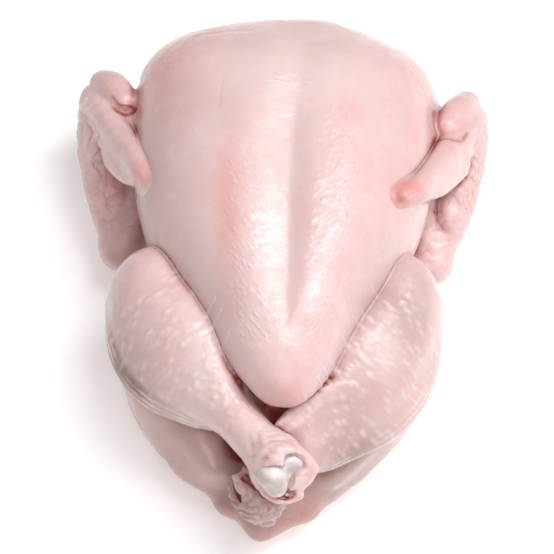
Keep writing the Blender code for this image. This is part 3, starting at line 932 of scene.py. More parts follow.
@dataclass(frozen=True)
class RawSkin:
    """Raw chicken skin, plucked and wet: thin, translucent, over fat and pink muscle.

    Light goes in and comes out some millimetres away, pinker, so nothing on it has a hard shade. A film of water
    gives sharp small highlights over a softer sheen.
    """

    base: str = "#e4c5c4"
    # pale: paler skin, also used for painted highlights at a few patches and on follicle tops
    pale: str = "#ecd9d7"
    blush: str = "#e5a49e"
    # dusk: a grey-brown, used mostly as painted shade on undersides, in gaps and on sides turned from the light
    dusk: str = "#98786f"
    vein: str = "#d3a3a1"
    # crease: a deep red, used as painted shade in folds and small creases, and as the own colour of torn skin and the
    # cavity wall
    crease: str = "#9a3a2c"
    scatter_mm: float = 1.4

    def make(self) -> bpy.types.Material:
        """The material."""
        material = bpy.data.materials.new("raw_chicken_skin")
        material.use_nodes = True
        tree = material.node_tree
        tree.nodes.clear()
        place = add_node(tree, "ShaderNodeTexCoord").outputs["Object"]
        tint = add_node(tree, "ShaderNodeAttribute", attribute_name="tint")
        parts = add_node(tree, "ShaderNodeSeparateColor", {0: tint.outputs["Color"]})
        clouds = add_node(tree, "ShaderNodeTexNoise", {"Vector": place, "Scale": 1 / 0.022, "Detail": 4.0, "Roughness": 0.6})
        patches = add_node(tree, "ShaderNodeTexNoise", {"Vector": place, "Scale": 1 / 0.006, "Detail": 3.0, "Roughness": 0.6})
        specks = add_node(tree, "ShaderNodeTexNoise", {"Vector": place, "Scale": 1 / 0.0013, "Detail": 2.0})
        soft = add_node(tree, "ShaderNodeMapRange", {0: clouds.outputs[0], 1: 0.38, 2: 0.66, 3: 0.0, 4: 1.0})
        small = add_node(tree, "ShaderNodeMapRange", {0: patches.outputs[0], 1: 0.35, 2: 0.7, 3: 0.0, 4: 1.0})
        colour = mix_colour(tree, math_node(tree, "MULTIPLY", soft.outputs[0], 0.45), linear(self.base), linear(self.pale))
        colour = mix_colour(tree, math_node(tree, "MULTIPLY", small.outputs[0], 0.22), colour, linear(self.vein))
        red = math_node(tree, "MULTIPLY", parts.outputs[0], math_node(tree, "MULTIPLY_ADD", small.outputs[0], 0.4))
        red.node.inputs[1].links[0].from_node.inputs[2].default_value = 0.75
        colour = mix_colour(tree, red, colour, linear(self.blush))
        # Dusk: mostly painted shade, laid by the tint's third channel.
        colour = mix_colour(tree, parts.outputs[2], colour, linear(self.dusk))
        # The pale channel: film along the folds, raised fine lines, paler skin, and painted highlights at a few
        # patches.
        film = math_node(tree, "MULTIPLY", parts.outputs[1], math_node(tree, "ADD", small.outputs[0], 0.5), clamp=True)
        colour = mix_colour(tree, film, colour, linear(self.pale))
        # Painted shade: the crease red in folds and small creases; it is also the own red of torn spots and the cavity
        # wall.
        colour = mix_colour(tree, tint.outputs["Alpha"], colour, linear(self.crease))
        # Follicle tops painted paler: partly their own colour, partly painted highlight.
        bead = add_node(tree, "ShaderNodeAttribute", attribute_name="bead").outputs["Fac"]
        colour = mix_colour(tree, math_node(tree, "MULTIPLY", bead, 0.45), colour, linear(self.pale))
        rough = add_node(tree, "ShaderNodeMapRange", {0: patches.outputs[0], 1: 0.3, 2: 0.7, 3: 0.34, 4: 0.5})
        height = add_node(tree, "ShaderNodeMath", {0: specks.outputs[0], 1: 0.5, 2: patches.outputs[0]}, operation="MULTIPLY_ADD")
        bump = add_node(tree, "ShaderNodeBump", {"Strength": 0.6, "Distance": 0.0004, "Height": height.outputs[0]})
        water = add_node(tree, "ShaderNodeTexNoise", {"Vector": place, "Scale": 1 / 0.0026, "Detail": 2.0, "Distortion": 0.8})
        wet = add_node(tree, "ShaderNodeBump", {"Strength": 0.7, "Distance": 0.0005, "Height": water.outputs[0]})
        gloss = add_node(tree, "ShaderNodeMapRange", {0: clouds.outputs[0], 1: 0.36, 2: 0.56, 3: 0.65, 4: 1.0})
        scatter = self.scatter_mm / 1000
        depth = add_node(tree, "ShaderNodeMapRange", {0: tint.outputs["Alpha"], 1: 0.0, 2: 1.0, 3: scatter, 4: 0.2 * scatter})
        shader = add_node(
            tree,
            "ShaderNodeBsdfPrincipled",
            {
                "Base Color": colour,
                "Coat Normal": wet.outputs[0],
                "Roughness": rough.outputs[0],
                "IOR": 1.4,
                "Normal": bump.outputs[0],
                "Subsurface Weight": 0.7,
                "Subsurface Radius": (1.0, 0.5, 0.38),
                "Subsurface Scale": depth.outputs[0],
                "Coat Weight": gloss.outputs[0],
                "Coat Roughness": 0.17,
                "Coat IOR": 1.36,
            },
        )
        out = add_node(tree, "ShaderNodeOutputMaterial")
        tree.links.new(shader.outputs[0], out.inputs[0])
        return material


@dataclass(frozen=True)
class WetFinish:
    """A wet soft tissue of two mixed colours."""

    name: str
    first: str
    second: str
    grain_mm: float
    roughness: float
    scatter_mm: float
    coat: float = 0.5

    def make(self) -> bpy.types.Material:
        """The material."""
        material = bpy.data.materials.new(self.name)
        material.use_nodes = True
        tree = material.node_tree
        tree.nodes.clear()
        place = add_node(tree, "ShaderNodeTexCoord").outputs["Object"]
        noise = add_node(
            tree, "ShaderNodeTexNoise", {"Vector": place, "Scale": 1000 / self.grain_mm, "Detail": 4.0, "Distortion": 0.6}
        )
        share = add_node(tree, "ShaderNodeMapRange", {0: noise.outputs[0], 1: 0.35, 2: 0.65, 3: 0.0, 4: 1.0})
        colour = mix_colour(tree, share.outputs[0], linear(self.first), linear(self.second))
        bump = add_node(tree, "ShaderNodeBump", {"Strength": 0.4, "Distance": 0.0004, "Height": noise.outputs[0]})
        shader = add_node(
            tree,
            "ShaderNodeBsdfPrincipled",
            {
                "Base Color": colour,
                "Roughness": self.roughness,
                "IOR": 1.4,
                "Normal": bump.outputs[0],
                "Subsurface Weight": 0.8,
                "Subsurface Radius": (1.0, 0.4, 0.3),
                "Subsurface Scale": self.scatter_mm / 1000,
                "Coat Weight": self.coat,
                "Coat Roughness": 0.12,
            },
        )
        out = add_node(tree, "ShaderNodeOutputMaterial")
        tree.links.new(shader.outputs[0], out.inputs[0])
        return material


FLESH = WetFinish("raw_flesh", "#bd5443", "#dc9684", 5.0, 0.4, 1.5)
CARTILAGE = WetFinish("bare_cartilage", "#cbbfbd", "#ebe6e6", 7.0, 0.36, 2.0, 0.45)


# ---- Tints and relief ---------------------------------------------------------------------------------------
@dataclass(frozen=True)
class TintPatch:
    """A soft patch of colour in the skin: blush, pale, dusk or crease red. Some are the skin's own colour; others are
    painted shade or painted highlights.
    """

    channel: int
    centre: Triple
    radii: Triple
    amount: float
    piece: str = ""  # only on pieces whose name starts so


STAINS_AND_PAINTED_LIGHT = (
    # Painted shade: darker under both thighs and under the tail.
    TintPatch(2, (-42, -92, 18), (48, 32, 30), 0.55),
    TintPatch(2, (42, -94, 14), (45, 30, 24), 0.55),
    TintPatch(2, (0, -118, 12), (26, 14, 16), 0.25),
    TintPatch(0, (0, -116, 14), (28, 14, 14), 0.40),
    # Darker over the middle of the under drumstick.
    TintPatch(2, (57, -38, 80), (24, 30, 22), 0.45),
    # Painted highlights: pale, wet-looking patches on the tops of both drumsticks.
    TintPatch(1, (51.6, -60, 84), (9, 14, 12), 0.95, "drumstick_under"),
    TintPatch(1, (-37, -74, 78), (10, 16, 12), 0.75, "drumstick_over"),
    # Darker below the under leg, by the vent.
    TintPatch(2, (34, -98, 47), (22, 15, 16), 0.60),
    TintPatch(0, (12, -112, 14), (18, 12, 12), 0.45),
    # Painted shade: warmer red in the shade under the over thigh and low on the over drumstick's outer side.
    TintPatch(0, (-44, -92, 16), (36, 24, 18), 0.50),
    TintPatch(0, (-70, -62, 50), (14, 28, 14), 0.35),
    # Painted shade: darker along the left edge of the breast, turned away from the light.
    TintPatch(2, (-66, 16, 64), (9, 42, 30), 0.60, "upper_body"),
    # Painted shade: crease red in the gap between the left drumette and the breast.
    TintPatch(3, (-68, 6, 44), (7, 24, 20), 0.40),
    # The under leg's cut end: its own grey-brown skin, with painted shade darkening its cleft.
    TintPatch(2, (-8, -122, 46), (18, 13, 15), 1.1, "drumstick_under"),
    TintPatch(3, (-10, -122, 49), (14, 10, 11), 0.42, "drumstick_under"),
    # Painted shade: crease red in the gap beside the cavity's left edge.
    TintPatch(3, (-21, -72, 62), (9, 12, 12), 0.8),
    # Painted shade: darker on the over drumstick's low outer side, turned away from the light.
    TintPatch(2, (-70, -62, 51), (18, 28, 16), 1.0, "drumstick_over"),
    # Deep red inside the cavity's mouth: the flesh's own colour, darkened as painted shade.
    TintPatch(3, (-15, -66, 48), (9, 13, 17), 0.9, "upper_body"),
    TintPatch(3, (-15, -64, 42), (12, 16, 20), 0.9, "lower_body"),
    TintPatch(3, (57, 16, 97), (7, 8, 8), 0.22, "forewing"),
    # A little darker on the under leg beside the vent flap.
    TintPatch(2, (30, -78, 70), (22, 20, 16), 0.28, "drumstick_under"),
    # Painted light: paler skin above the over leg's hock and on the left of the breast, both lying in part shade.
    TintPatch(1, (-2, -104, 78), (14, 14, 12), 0.7, "drumstick_over"),
    TintPatch(1, (-34, -20, 100), (14, 40, 14), 0.5),
    # Painted shade: darker under the left wing, low by the drumette.
    TintPatch(2, (-76, 28, 30), (16, 34, 14), 0.30),
    TintPatch(0, (-62, 88, 74), (26, 34, 28), 0.55),
    TintPatch(0, (64, 72, 72), (20, 44, 28), 0.45),
    TintPatch(0, (0, -112, 72), (18, 16, 14), 0.30, "drumstick_over"),
    TintPatch(1, (6, 72, 112), (42, 30, 24), 0.55),
    # Painted highlight: a pale streak on the left slope of the keel valley.
    TintPatch(1, (-6, -8, 110), (8.5, 62, 14), 0.9),
    # Painted shade: darker on the right slope of the keel valley.
    TintPatch(2, (8, -8, 110), (6, 56, 14), 0.22),
    TintPatch(0, (-27, -5, 109), (6, 34, 12), 1.0),
    TintPatch(0, (29, 55, 110), (8, 9, 10), 0.6),
    TintPatch(0, (4, -90, 88), (22, 8, 12), 0.5),
    TintPatch(0, (57, 16, 96), (9, 11, 10), 1.8, "forewing"),
    TintPatch(0, (-68, 29, 82), (7, 9, 8), 0.8, "forewing"),
    TintPatch(0, (-84, 46, 48), (7, 20, 14), 0.5, "forewing"),
    TintPatch(0, (84, 46, 52), (9, 22, 14), 0.2, "forewing"),
)


TORN = (((0.4, -111.2, 82.4), 1.8), ((-3.6, -115.6, 81), 1.6), ((4.0, -126.5, 69), 1.6), ((-17, -106, 62), 2.2))


def tints(name: str, points: Array, folded: Array, marks: Array) -> Array:
    """The skin's blush, pale, dusk and crease colour at each point, in mm. Pale also carries painted highlights at some
    patches, dusk mostly painted shade, and the crease colour painted shade in folds and small creases.

    Args:
        name: The piece's name.
        points: Its points.
        folded: How deep in a fold each point is, from 0 to 1, painted as shade in the crease colour.
        marks: How much each point stands out as a fine line (above 0) or lies in a small crease (below).

    Returns:
        Four columns from 0 to 1.
    """
    found = np.zeros((len(points), 4), np.float32)
    for tint_patch in STAINS_AND_PAINTED_LIGHT:
        if not name.startswith(tint_patch.piece):
            continue
        away = (points - tint_patch.centre) / tint_patch.radii
        found[:, tint_patch.channel] += tint_patch.amount * np.exp(-(away**2).sum(axis=1))
    for side, path in FOLDS.items():
        spine = Limb(path, [1.0] * len(path)).spine()[0]
        away = np.min([np.linalg.norm(points - spot, axis=1) for spot in spine], axis=0)
        # The stretched film along each fold: a little paler and greyer; the extra darkening on the over leg's film is
        # painted shade.
        film = np.exp(-((away / 7.0) ** 4))
        found[:, 1] += 0.12 * film
        found[:, 2] += (0.45 if side is Side.OVER else 0.15) * film
    found[:, 1] += 0.8 * np.maximum(marks, 0.0)
    # Painted shade: the crease red where a point lies deep in a fold or in a small crease; the torn spots after it are
    # the skin's own colour.
    found[:, 3] = folded + 0.55 * np.maximum(-marks, 0.0)
    for centre, size in TORN:
        found[:, 3] += np.exp(-(((points - centre) / size) ** 2).sum(axis=1))
    return np.clip(found, 0.0, 1.0)


@dataclass(frozen=True)
class Pleat:
    """A fine ridge in the skin, or a crease where its height is negative, in mm."""

    path: Sequence[Triple]
    width: float
    height: float


@dataclass(frozen=True)
class Rumple:
    """Skin that has gone into small rounded lumps with creases between them, in mm."""

    centre: Triple
    radii: Triple
    height: float
    size: float


CROP_LINES = (  # y, and the x where each line starts and ends
    (73.5, -2, 8), (72.2, -12, -3), (71.0, -7, 6), (69.8, 1, 12), (68.8, -11, 2), (67.6, -4, 9), (66.2, -9, -1),
    (65.0, 0, 7), (56.0, -5, 0), (54.2, -4, 1.5), (52.4, -5, 0.5), (50.4, -3.5, 1),
)


def _crop_pleats() -> list[Pleat]:
    """The fine, short stretch lines across the crop."""
    rng = np.random.default_rng(11)
    found = []
    for y, left, right in CROP_LINES:
        far = rng.uniform(0.35, 0.65)
        spots = [(left + (right - left) * share, y + rng.uniform(-0.6, 0.6), 109) for share in (0.0, 0.25, far, 0.8, 1.0)]
        found.append(Pleat(spots, 0.6, rng.uniform(0.2, 0.32)))
    return found


def _fold_pleats() -> list[Pleat]:
    """The fine lines along the stretched skin on the outer side of each drumstick."""
    found = []
    for side, path in FOLDS.items():
        for out, up, height in ((1.5, 5.0, 0.26), (3.0, 3.0, 0.34), (4.2, 0.6, 0.3), (4.2, -2.0, 0.26)):
            line = [tuple(np.array(p) + (side.value * out * 0.7, -out * 0.7, up)) for p in path[1:]]
            found.append(Pleat(line, 0.75, height))
    return found


PLEATS = (
    *_crop_pleats(),
    *_fold_pleats(),
    Pleat([(-87.3, 79.0, 70), (-82.9, 74.0, 70), (-76.6, 73.8, 69)], 1.1, -0.6),
    Pleat([(72.5, 61.4, 70), (77.5, 58.4, 72), (83.2, 61.2, 72), (87, 67.6, 70)], 1.1, -0.6),
    Pleat([(-50, 99, 86), (-36, 103, 89), (-20, 105, 92)], 0.9, 0.35),
    Pleat([(-44, 96, 90), (-32, 99, 93), (-22, 100, 95)], 0.8, 0.3),
    Pleat([(-54, 92, 86), (-44, 94, 90)], 0.8, 0.3),
    Pleat([(-31, 71, 104), (-32.5, 62, 106), (-32.5, 54, 106)], 0.8, -0.08),
)
RUMPLES = (
    Rumple((-94, 66, 50), (11, 20, 14), 1.6, 3.8),
    Rumple((92, 50, 50), (10, 22, 14), 1.6, 3.8),
    Rumple((-86, 40, 44), (10, 20, 14), 0.9, 4.2),
    Rumple((-72, 36, 34), (12, 26, 14), 1.0, 5.0),
    Rumple((72, 36, 36), (12, 26, 14), 1.0, 5.0),
    Rumple((-8, -121, 50), (18, 13, 13), 2.4, 3.2),
    Rumple((1, -112, 74), (13, 14, 13), 0.8, 3.4),
    Rumple((-58, -82, 12), (26, 18, 10), 0.7, 7.0),
    Rumple((-74, 44, 66), (8, 14, 8), 0.6, 4.5),
    Rumple((0, -112, 14), (30, 12, 10), 0.4, 8.0),
    Rumple((-56, 98, 62), (18, 22, 28), 0.35, 5.0),
    Rumple((56, 96, 62), (18, 22, 28), 0.35, 5.0),
)


def reach_of(points: Array, normals: Array, path: Sequence[Triple], limit: float = 7.0) -> Array:
    """How far each point is from a path, measured along the skin, or far where it isn't near.

    Args:
        points: The points.
        normals: The skin's direction at each.
        path: The path, close to the skin.
        limit: How far off it looks.

    Returns:
        The distances in mm.
    """
    spine = Limb(path, [1.0] * len(path)).spine()[0]
    near = ((points > spine.min(axis=0) - limit) & (points < spine.max(axis=0) + limit)).all(axis=1)
    spots, ways = points[near], normals[near]
    best = np.full(len(spots), FAR)
    for a, b in zip(spine, spine[1:]):
        share = np.clip((spots - a) @ (b - a) / ((b - a) @ (b - a)), 0.0, 1.0)
        away = spots - a - share[:, None] * (b - a)
        lift = (away * ways).sum(axis=1)
        flat = np.linalg.norm(away - ways * lift[:, None], axis=1)
        best = np.minimum(best, np.where(np.abs(lift) < limit, flat, FAR))
    found = np.full(len(points), FAR)
    found[near] = best
    return found


def relief(points: Array, normals: Array) -> tuple[Array, Array]:
    """The skin's fine pleats and lumps.

    Args:
        points: The points.
        normals: The skin's direction at each.

    Returns:
        How far each point is raised, in mm, and how much it stands out as a line (above 0) or lies in a crease.
    """
    raised, marks = np.zeros(len(points)), np.zeros(len(points))
    broken = np.clip(0.6 + 0.7 * ripples(points, 18.0, 9), 0.0, 1.1)
    for pleat in PLEATS:
        line = np.exp(-((reach_of(points, normals, pleat.path) / pleat.width) ** 2))
        if pleat.height > 0:
            line *= broken
        raised += pleat.height * line
        marks += line * max(-1.0, min(1.0, pleat.height / 0.4))
    for number, rumple in enumerate(RUMPLES):
        away = (((points - rumple.centre) / rumple.radii) ** 2).sum(axis=1)
        near = away < 3.0
        lumps = np.sqrt(np.abs(ripples(points[near], rumple.size * 2, 40 + number, 12)) + 0.01) - 0.75
        strength = np.exp(-away[near] * 1.0)
        raised[near] += rumple.height * lumps * strength
        marks[near] += np.minimum(lumps + 0.25, 0.0) * 2.0 * strength
    return raised, marks


class FollicleNodes:
    """Geometry Nodes that raise a small mound of skin round each feather follicle.

    The follicles stand in staggered rows on the piece's own lay of the skin, given in mm, and grow no higher than
    the piece says at each point.
    """

    def __init__(self) -> None:
        """Builds the tree."""
        self.tree = bpy.data.node_groups.new("follicles", "GeometryNodeTree")
        face = self.tree.interface
        face.new_socket("Geometry", in_out="INPUT", socket_type="NodeSocketGeometry")
        for name, value in (("Spacing", 2.4), ("Stretch", 1.8), ("Irregularity", 0.55)):
            face.new_socket(name, in_out="INPUT", socket_type="NodeSocketFloat").default_value = value
        face.new_socket("Skin", in_out="INPUT", socket_type="NodeSocketMaterial")
        face.new_socket("Geometry", in_out="OUTPUT", socket_type="NodeSocketGeometry")
        t = self.tree
        start = add_node(t, "NodeGroupInput").outputs
        lay = add_node(t, "GeometryNodeInputNamedAttribute", {"Name": "lay"}, data_type="FLOAT_VECTOR").outputs[0]
        rise = add_node(t, "GeometryNodeInputNamedAttribute", {"Name": "rise"}, data_type="FLOAT").outputs[0]
        parts = add_node(t, "ShaderNodeSeparateXYZ", {0: lay})
        along = math_node(t, "DIVIDE", parts.outputs[0], math_node(t, "MULTIPLY", start["Spacing"], start["Stretch"]))
        across = math_node(t, "DIVIDE", parts.outputs[1], start["Spacing"])
        spot = add_node(t, "ShaderNodeCombineXYZ", {0: along, 1: across, 2: parts.outputs[2]})
        cells = add_node(
            t,
            "ShaderNodeTexVoronoi",
            {"Vector": spot.outputs[0], "Scale": 1.0, "Randomness": start["Irregularity"]},
            voronoi_dimensions="3D",
            feature="F1",
        )
        mound = add_node(
            t, "ShaderNodeMapRange", {0: cells.outputs["Distance"], 1: 0.0, 2: 0.62, 3: 1.0, 4: 0.0},
            interpolation_type="SMOOTHSTEP",
        )
        lift = math_node(t, "MULTIPLY", mound.outputs[0], rise)
        normal = add_node(t, "GeometryNodeInputNormal").outputs[0]
        offset = add_node(t, "ShaderNodeVectorMath", {0: normal, "Scale": lift}, operation="SCALE")
        moved = add_node(t, "GeometryNodeSetPosition", {"Geometry": start["Geometry"], "Offset": offset.outputs[0]})
        # Bead: each mound's height, later painted paler in the skin, partly the follicle's own colour and partly
        # painted highlight.
        bead = math_node(t, "MULTIPLY", lift, 2200.0, clamp=True)
        marked = add_node(
            t, "GeometryNodeStoreNamedAttribute", {"Geometry": moved.outputs[0], "Name": "bead", "Value": bead},
            data_type="FLOAT", domain="POINT",
        )
        real = add_node(t, "GeometryNodeRealizeInstances", {"Geometry": marked.outputs[0]})
        dressed = add_node(t, "GeometryNodeSetMaterial", {"Geometry": real.outputs[0], "Material": start["Skin"]})
        add_node(t, "NodeGroupOutput", {"Geometry": dressed.outputs[0]})

    def apply(self, piece: bpy.types.Object, skin: bpy.types.Material, **sizes: float) -> None:
        """Raises the follicles on a piece and leaves it a plain mesh.

        Args:
            piece: The piece, with its lay and rise attributes.
            skin: Its material.
            **sizes: The tree's inputs, by name.
        """
        modifier = piece.modifiers.new("follicles", "NODES")
        modifier.node_group = self.tree
        ids = {item.name: item.identifier for item in self.tree.interface.items_tree if item.in_out == "INPUT"}
        for name, value in sizes.items():
            modifier[ids[name]] = value
        modifier[ids["Skin"]] = skin
        graph = bpy.context.evaluated_depsgraph_get()
        made = bpy.data.meshes.new_from_object(piece.evaluated_get(graph))
        old, piece.data = piece.data, made
        piece.modifiers.clear()
        bpy.data.meshes.remove(old)


# ---- Putting it together ------------------------------------------------------------------------------------
def mesh_piece(name: str, points: Array, faces: Sequence, place: Placement) -> bpy.types.Object:
    """A smooth-shaded object from modelled points.

    Args:
        name: The piece's name.
        points: Points in the bird's frame, in mm.
        faces: Faces as rows of point numbers.
        place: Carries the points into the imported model's frame.

    Returns:
        The new object.
    """
    mesh = bpy.data.meshes.new(name)
    loops = np.fromiter((number for face in faces for number in face), np.int32)
    sizes = np.fromiter((len(face) for face in faces), np.int32)
    mesh.vertices.add(len(points))
    mesh.vertices.foreach_set("co", place.points(points).astype(np.float32).ravel())
    mesh.loops.add(len(loops))
    mesh.loops.foreach_set("vertex_index", loops)
    mesh.polygons.add(len(sizes))
    mesh.polygons.foreach_set("loop_start", np.concatenate([[0], np.cumsum(sizes)[:-1]]).astype(np.int32))
    mesh.update(calc_edges=True)
    mesh.validate()
    mesh.shade_smooth()
    piece = bpy.data.objects.new(name, mesh)
    bpy.context.scene.collection.objects.link(piece)
    return piece


def refined(points: Array, faces: Array, chosen: Array) -> tuple[Array, list]:
    """Splits the chosen four-sided faces into four each, and fits their neighbours to them.

    Args:
        points: The points.
        faces: Four point numbers a row.
        chosen: Which faces to split.

    Returns:
        The points with the new ones added, and the faces as lists.
    """
    ends = np.stack([faces, np.roll(faces, -1, axis=1)], axis=-1)
    keys = np.sort(ends, axis=-1) @ np.array([len(points), 1], dtype=np.int64)
    split, place = np.unique(keys[chosen], return_inverse=True)
    count = len(points)
    middles = (points[split // count] + points[split % count]) / 2
    centres = points[faces[chosen]].mean(axis=1)
    mids = place.reshape(-1, 4) + count
    hearts = np.arange(len(centres)) + count + len(middles)
    corner = faces[chosen]
    small = np.concatenate(
        [np.stack([corner[:, i], mids[:, i], hearts, mids[:, i - 1]], axis=1) for i in range(4)]
    ).tolist()
    rest_faces, rest_keys = faces[~chosen], keys[~chosen]
    found = np.searchsorted(split, rest_keys).clip(0, len(split) - 1)
    hit = split[found] == rest_keys
    for face, cut, mid in zip(rest_faces.tolist(), hit.tolist(), (found + count).tolist()):
        if any(cut):
            face = [number for i in range(4) for number in ([face[i], mid[i]] if cut[i] else [face[i]])]
        small.append(face)
    return np.concatenate([points, middles, centres]), small


def normals_of(clay: Clay, points: Array) -> Array:
    """Unit vectors out of the clay at each point."""
    step = clay.pitch
    slopes = np.stack(
        [clay.read(points + offset) - clay.read(points - offset) for offset in np.eye(3) * step], axis=1
    )
    return slopes / np.maximum(np.linalg.norm(slopes, axis=1, keepdims=True), 1e-6)


def roughen(points: Array, normals: Array) -> Array:
    """Points moved in and out by the skin's own soft unevenness."""
    lumps = 0.28 * ripples(points, 36.0, 3, 24) + 0.08 * ripples(points, 14.0, 5, 24) + 0.02 * ripples(points, 5.5, 7, 24)
    return points + normals * lumps[:, None]


WHITE, WARM, BOUNCE = (1.0, 1.0, 1.0), (1.0, 0.90, 0.87), (1.0, 0.70, 0.62)
LAMPS = (
    ("softbox", (0.32, 0.14, 0.94), 1.3, 0.38, 1.0, 10.5, WHITE),
    ("window", (0.64, 0.05, 0.77), 1.3, 0.40, 0.40, 1.2, WHITE),
    ("tail_light", (0.1, -0.65, 0.75), 1.4, 1.0, 1.0, 6.8, WHITE),
    ("right_light", (0.45, -0.30, 0.84), 1.4, 1.0, 1.0, 2.4, WHITE),
    ("side_light", (0.87, 0.0, 0.5), 1.4, 1.0, 1.0, 2.4, WARM),
    ("left_bounce", (-0.87, 0.0, 0.5), 1.4, 1.0, 1.0, 1.2, BOUNCE),
    ("left_fill", (-0.405, 0.405, 0.82), 1.4, 1.0, 1.0, 1.8, WHITE),
    ("neck_fill", (-0.43, 0.75, 0.5), 1.4, 1.0, 1.0, 0.9, WHITE),
)


def build_studio(place: Placement) -> None:
    """The floor, the soft key light, the white surroundings and the camera."""
    mesh = bpy.data.meshes.new("floor")
    size = 6.0
    mesh.from_pydata([(-size, -size, 0), (size, -size, 0), (size, size, 0), (-size, size, 0)], [], [(0, 1, 2, 3)])
    floor = bpy.data.objects.new("floor", mesh)
    bpy.context.scene.collection.objects.link(floor)
    paper = bpy.data.materials.new("white_paper")
    paper.use_nodes = True
    shader = paper.node_tree.nodes["Principled BSDF"]
    shader.inputs["Base Color"].default_value = linear("#fafafa")
    shader.inputs["Roughness"].default_value = 0.9
    shader.inputs["Specular IOR Level"].default_value = 0.1
    shader.inputs["Emission Color"].default_value = (1.0, 1.0, 1.0, 1.0)
    shader.inputs["Emission Strength"].default_value = 0.23
    mesh.materials.append(paper)
    world = bpy.data.worlds.new("white_room")
    bpy.context.scene.world = world
    world.use_nodes = True
    world.node_tree.nodes["Background"].inputs[0].default_value = (1.0, 1.0, 1.0, 1.0)
    world.node_tree.nodes["Background"].inputs[1].default_value = 0.09
    target = place.point((-2.4, -8.0, 50.0))
    for name, way, distance, width, length, power, colour in LAMPS:
        light = bpy.data.lights.new(name, "AREA")
        light.shape, light.size, light.size_y = "ELLIPSE", width, length
        light.energy, light.color = power, colour
        lamp = bpy.data.objects.new(name, light)
        bpy.context.scene.collection.objects.link(lamp)
        way = Vector(way).normalized()
        lamp.matrix_world = Matrix.Translation(target + way * distance) @ way.to_track_quat("Z", "Y").to_matrix().to_4x4()
    camera = bpy.data.objects.new("camera", bpy.data.cameras.new("camera"))
    camera.data.lens, camera.data.sensor_width = 203.9, 36.0
    bpy.context.scene.collection.objects.link(camera)
    tilt, roll = math.radians(62.0), math.radians(2.4)
    target = place.point((-2.4, -8.0, 55.0))
    back = Vector((0.0, -math.cos(tilt), math.sin(tilt)))
    level = Vector((1.0, 0.0, 0.0))
    up = back.cross(level)
    right = level * math.cos(roll) + up * math.sin(roll)
    frame = Matrix((right, back.cross(right), back)).transposed().to_4x4()
    frame.translation = target + back * 1.5
    camera.matrix_world = frame
    bpy.context.scene.camera = camera
    bpy.context.scene.view_settings.view_transform = "Standard"


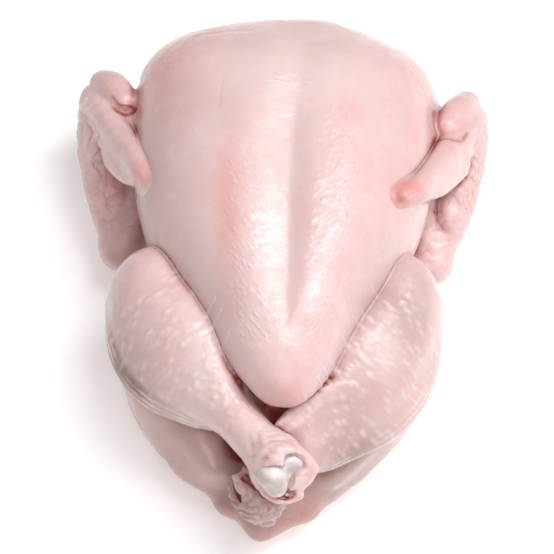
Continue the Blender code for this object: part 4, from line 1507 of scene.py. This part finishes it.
@dataclass
class Bird:
    """The whole bird: builds each piece, dresses it and sets it on the body."""

    place: Placement
    pieces: list = field(default_factory=list)

    def build(self) -> None:
        """Builds every piece."""
        self.skin = RawSkin().make()
        self.follicles = FollicleNodes()
        carcass = Carcass()
        whole = carcass.model()
        legs = {side: Drumstick(side) for side in Side}
        leg_clays = {side: leg.model(whole) for side, leg in legs.items()}
        wing_clays = {side: Forewing(side).model(whole) for side in Side}
        self.clays = [whole, *leg_clays.values(), *wing_clays.values()]
        self.hollow = Clay((-50, -112, 14), (50, 62, 92), 2.0)
        self.hollow.field = carcass.cavity.distance(*self.hollow.axes()).astype(np.float32)
        upper, lower = carcass.halves(whole)
        body = self.skinned("upper_body", upper, self.breast_lay)
        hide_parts("chicken")
        self.skinned("lower_body", lower, self.plain_lay)
        for side, leg in legs.items():
            name = side.name.lower()
            self.skinned(f"drumstick_{name}", leg_clays[side], lambda p, leg=leg: self.leg_lay(p, leg))
            self.skinned(f"forewing_{name}", wing_clays[side], self.plain_lay)
        self.plain("hock_knobs", Knobs(legs[Side.OVER]).model(), CARTILAGE.make())
        self.plain("cavity_lining", CavityLining(carcass.cavity).model(), FLESH.make())

    def folded(self, points: Array, normals: Array) -> Array:
        """How deep in a fold between two masses each point is, from 0 to 1, read to paint shade into the folds."""
        found = np.zeros(len(points))
        for reach, weight in ((3.0, 0.8), (8.0, 0.22)):
            room = np.full(len(points), reach)
            for clay in self.clays:
                room = np.minimum(room, clay.near(points + normals * reach))
            found += weight * smooth_step(1 - room / reach, 0.25, 1.0)
        return found

    def breast_lay(self, points: Array) -> tuple[Array, Array, dict]:
        """The lay of the breast's follicles, how high they rise, and their spacing."""
        x, y, z = points.T
        side = np.where(x > 3, 1.0, -1.0)
        turn = math.radians(52)
        around = np.abs(x - 3) + 0.9 * (112.0 - z)
        along = around * math.cos(turn) + y * math.sin(turn)
        across = -around * math.sin(turn) + y * math.cos(turn)
        lay = np.stack([along, across, side * 3.0], axis=1)
        left = np.exp(-(((x + 18 + 0.11 * np.minimum(y, 0)) / 11) ** 4)) * smooth_step(y, -78, -55) * (1 - smooth_step(y, 24, 48))
        shoulder = 0.35 * smooth_step(np.abs(x), 46, 60) * smooth_step(y, 20, 60)
        right = np.exp(-(((x - 22 - 0.02 * y) / 10) ** 4)) * smooth_step(y, -84, -60) * (1 - smooth_step(y, 45, 66))
        rise = 0.40 * np.maximum(np.maximum(left, right) * smooth_step(z, 88, 99), shoulder)
        return lay, rise, {"Spacing": 1.75, "Stretch": 2.9, "Irregularity": 0.6}

    def leg_lay(self, points: Array, leg: Drumstick) -> tuple[Array, Array, dict]:
        """The lay of a drumstick's follicles, how high they rise, and their spacing."""
        along, across, up = leg.axes()
        joints = JOINTS[leg.side]
        away = points - np.array(joints.knee)
        run = away @ along
        length = np.linalg.norm(np.array(joints.hock, float) - np.array(joints.knee))
        thickness = hermite(run / length, np.array(leg.stops), np.array(MUSCLES[leg.side], float))
        out = np.hypot(away @ across, away @ up)
        angle = np.arctan2(away @ across, away @ up)
        lay = np.stack([angle * 18.0, run, np.zeros(len(points))], axis=1)
        rise = 0.62 * smooth_step(run, -16, 8) * (1 - smooth_step(run, 66, 92)) * smooth_step(away @ up, -14, 4)
        rise *= 1 - smooth_step(thickness - out, 3.0, 6.0)
        return lay, rise, {"Spacing": 3.3, "Stretch": 1.6, "Irregularity": 0.8}

    def plain_lay(self, points: Array) -> tuple[Array, Array, dict]:
        """The lay of scattered follicles on ordinary skin."""
        return points.copy(), np.full(len(points), 0.12), {"Spacing": 4.0, "Stretch": 1.0, "Irregularity": 0.9}

    def skinned(self, name: str, clay: Clay, lay_of: Callable) -> bpy.types.Object:
        """A piece covered in skin, with its follicles raised and its tints laid.

        Args:
            name: The piece's name.
            clay: Its shape.
            lay_of: Gives the follicles' lay, rise and sizes at the piece's points.

        Returns:
            The piece.
        """
        points, faces = clay.skin()
        normals = normals_of(clay, points)
        points = roughen(points, normals)
        fine = np.minimum.reduce([reach_of(points, normals, pleat.path) for pleat in PLEATS]) < 2.4
        if name == "upper_body":
            fine |= lay_of(points)[1] > 0.15
        if fine.any():
            points, faces = refined(points, faces, fine[faces].any(axis=1))
            normals = normals_of(clay, points)
        raised, marks = relief(points, normals)
        points = points + normals * raised[:, None]
        lay, rise, sizes = lay_of(points)
        # Painted shade: how deep in a fold each point lies, painted in the crease red.
        folds = self.folded(points, normals)
        # On the body the cavity wall takes the same red, as raw flesh.
        if name.endswith("body"):
            folds = np.maximum(folds, 0.9 * smooth_step(1.4 - self.hollow.near(points), 0.0, 1.2) * (points[:, 1] > -96))
        piece = mesh_piece(name, points, faces, self.place)
        mesh = piece.data
        mesh.materials.append(self.skin)
        mesh.attributes.new("lay", "FLOAT_VECTOR", "POINT").data.foreach_set("vector", lay.astype(np.float32).ravel())
        mesh.attributes.new("rise", "FLOAT", "POINT").data.foreach_set("value", (rise / 1000).astype(np.float32))
        mesh.attributes.new("tint", "FLOAT_COLOR", "POINT").data.foreach_set("color", tints(name, points, folds, marks).ravel())
        self.follicles.apply(piece, self.skin, **sizes)
        return self.finish(piece)

    def plain(self, name: str, clay: Clay, material: bpy.types.Material) -> bpy.types.Object:
        """A piece of one plain finish."""
        points, faces = clay.skin()
        piece = mesh_piece(name, points, faces, self.place)
        piece.data.materials.append(material)
        return self.finish(piece)

    def finish(self, piece: bpy.types.Object) -> bpy.types.Object:
        """Sets a piece on the bird's one body and reports it."""
        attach(piece, "root")
        LOG.info("%s: %d faces", piece.name, len(piece.data.polygons))
        self.pieces.append(piece)
        return piece


def main() -> None:
    """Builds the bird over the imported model, and the studio round it."""
    logging.basicConfig(level=logging.INFO, format="%(message)s")
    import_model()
    low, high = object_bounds()
    place = Placement.into(low, high)
    Bird(place).build()
    build_studio(place)


if __name__ == "__main__":
    main()
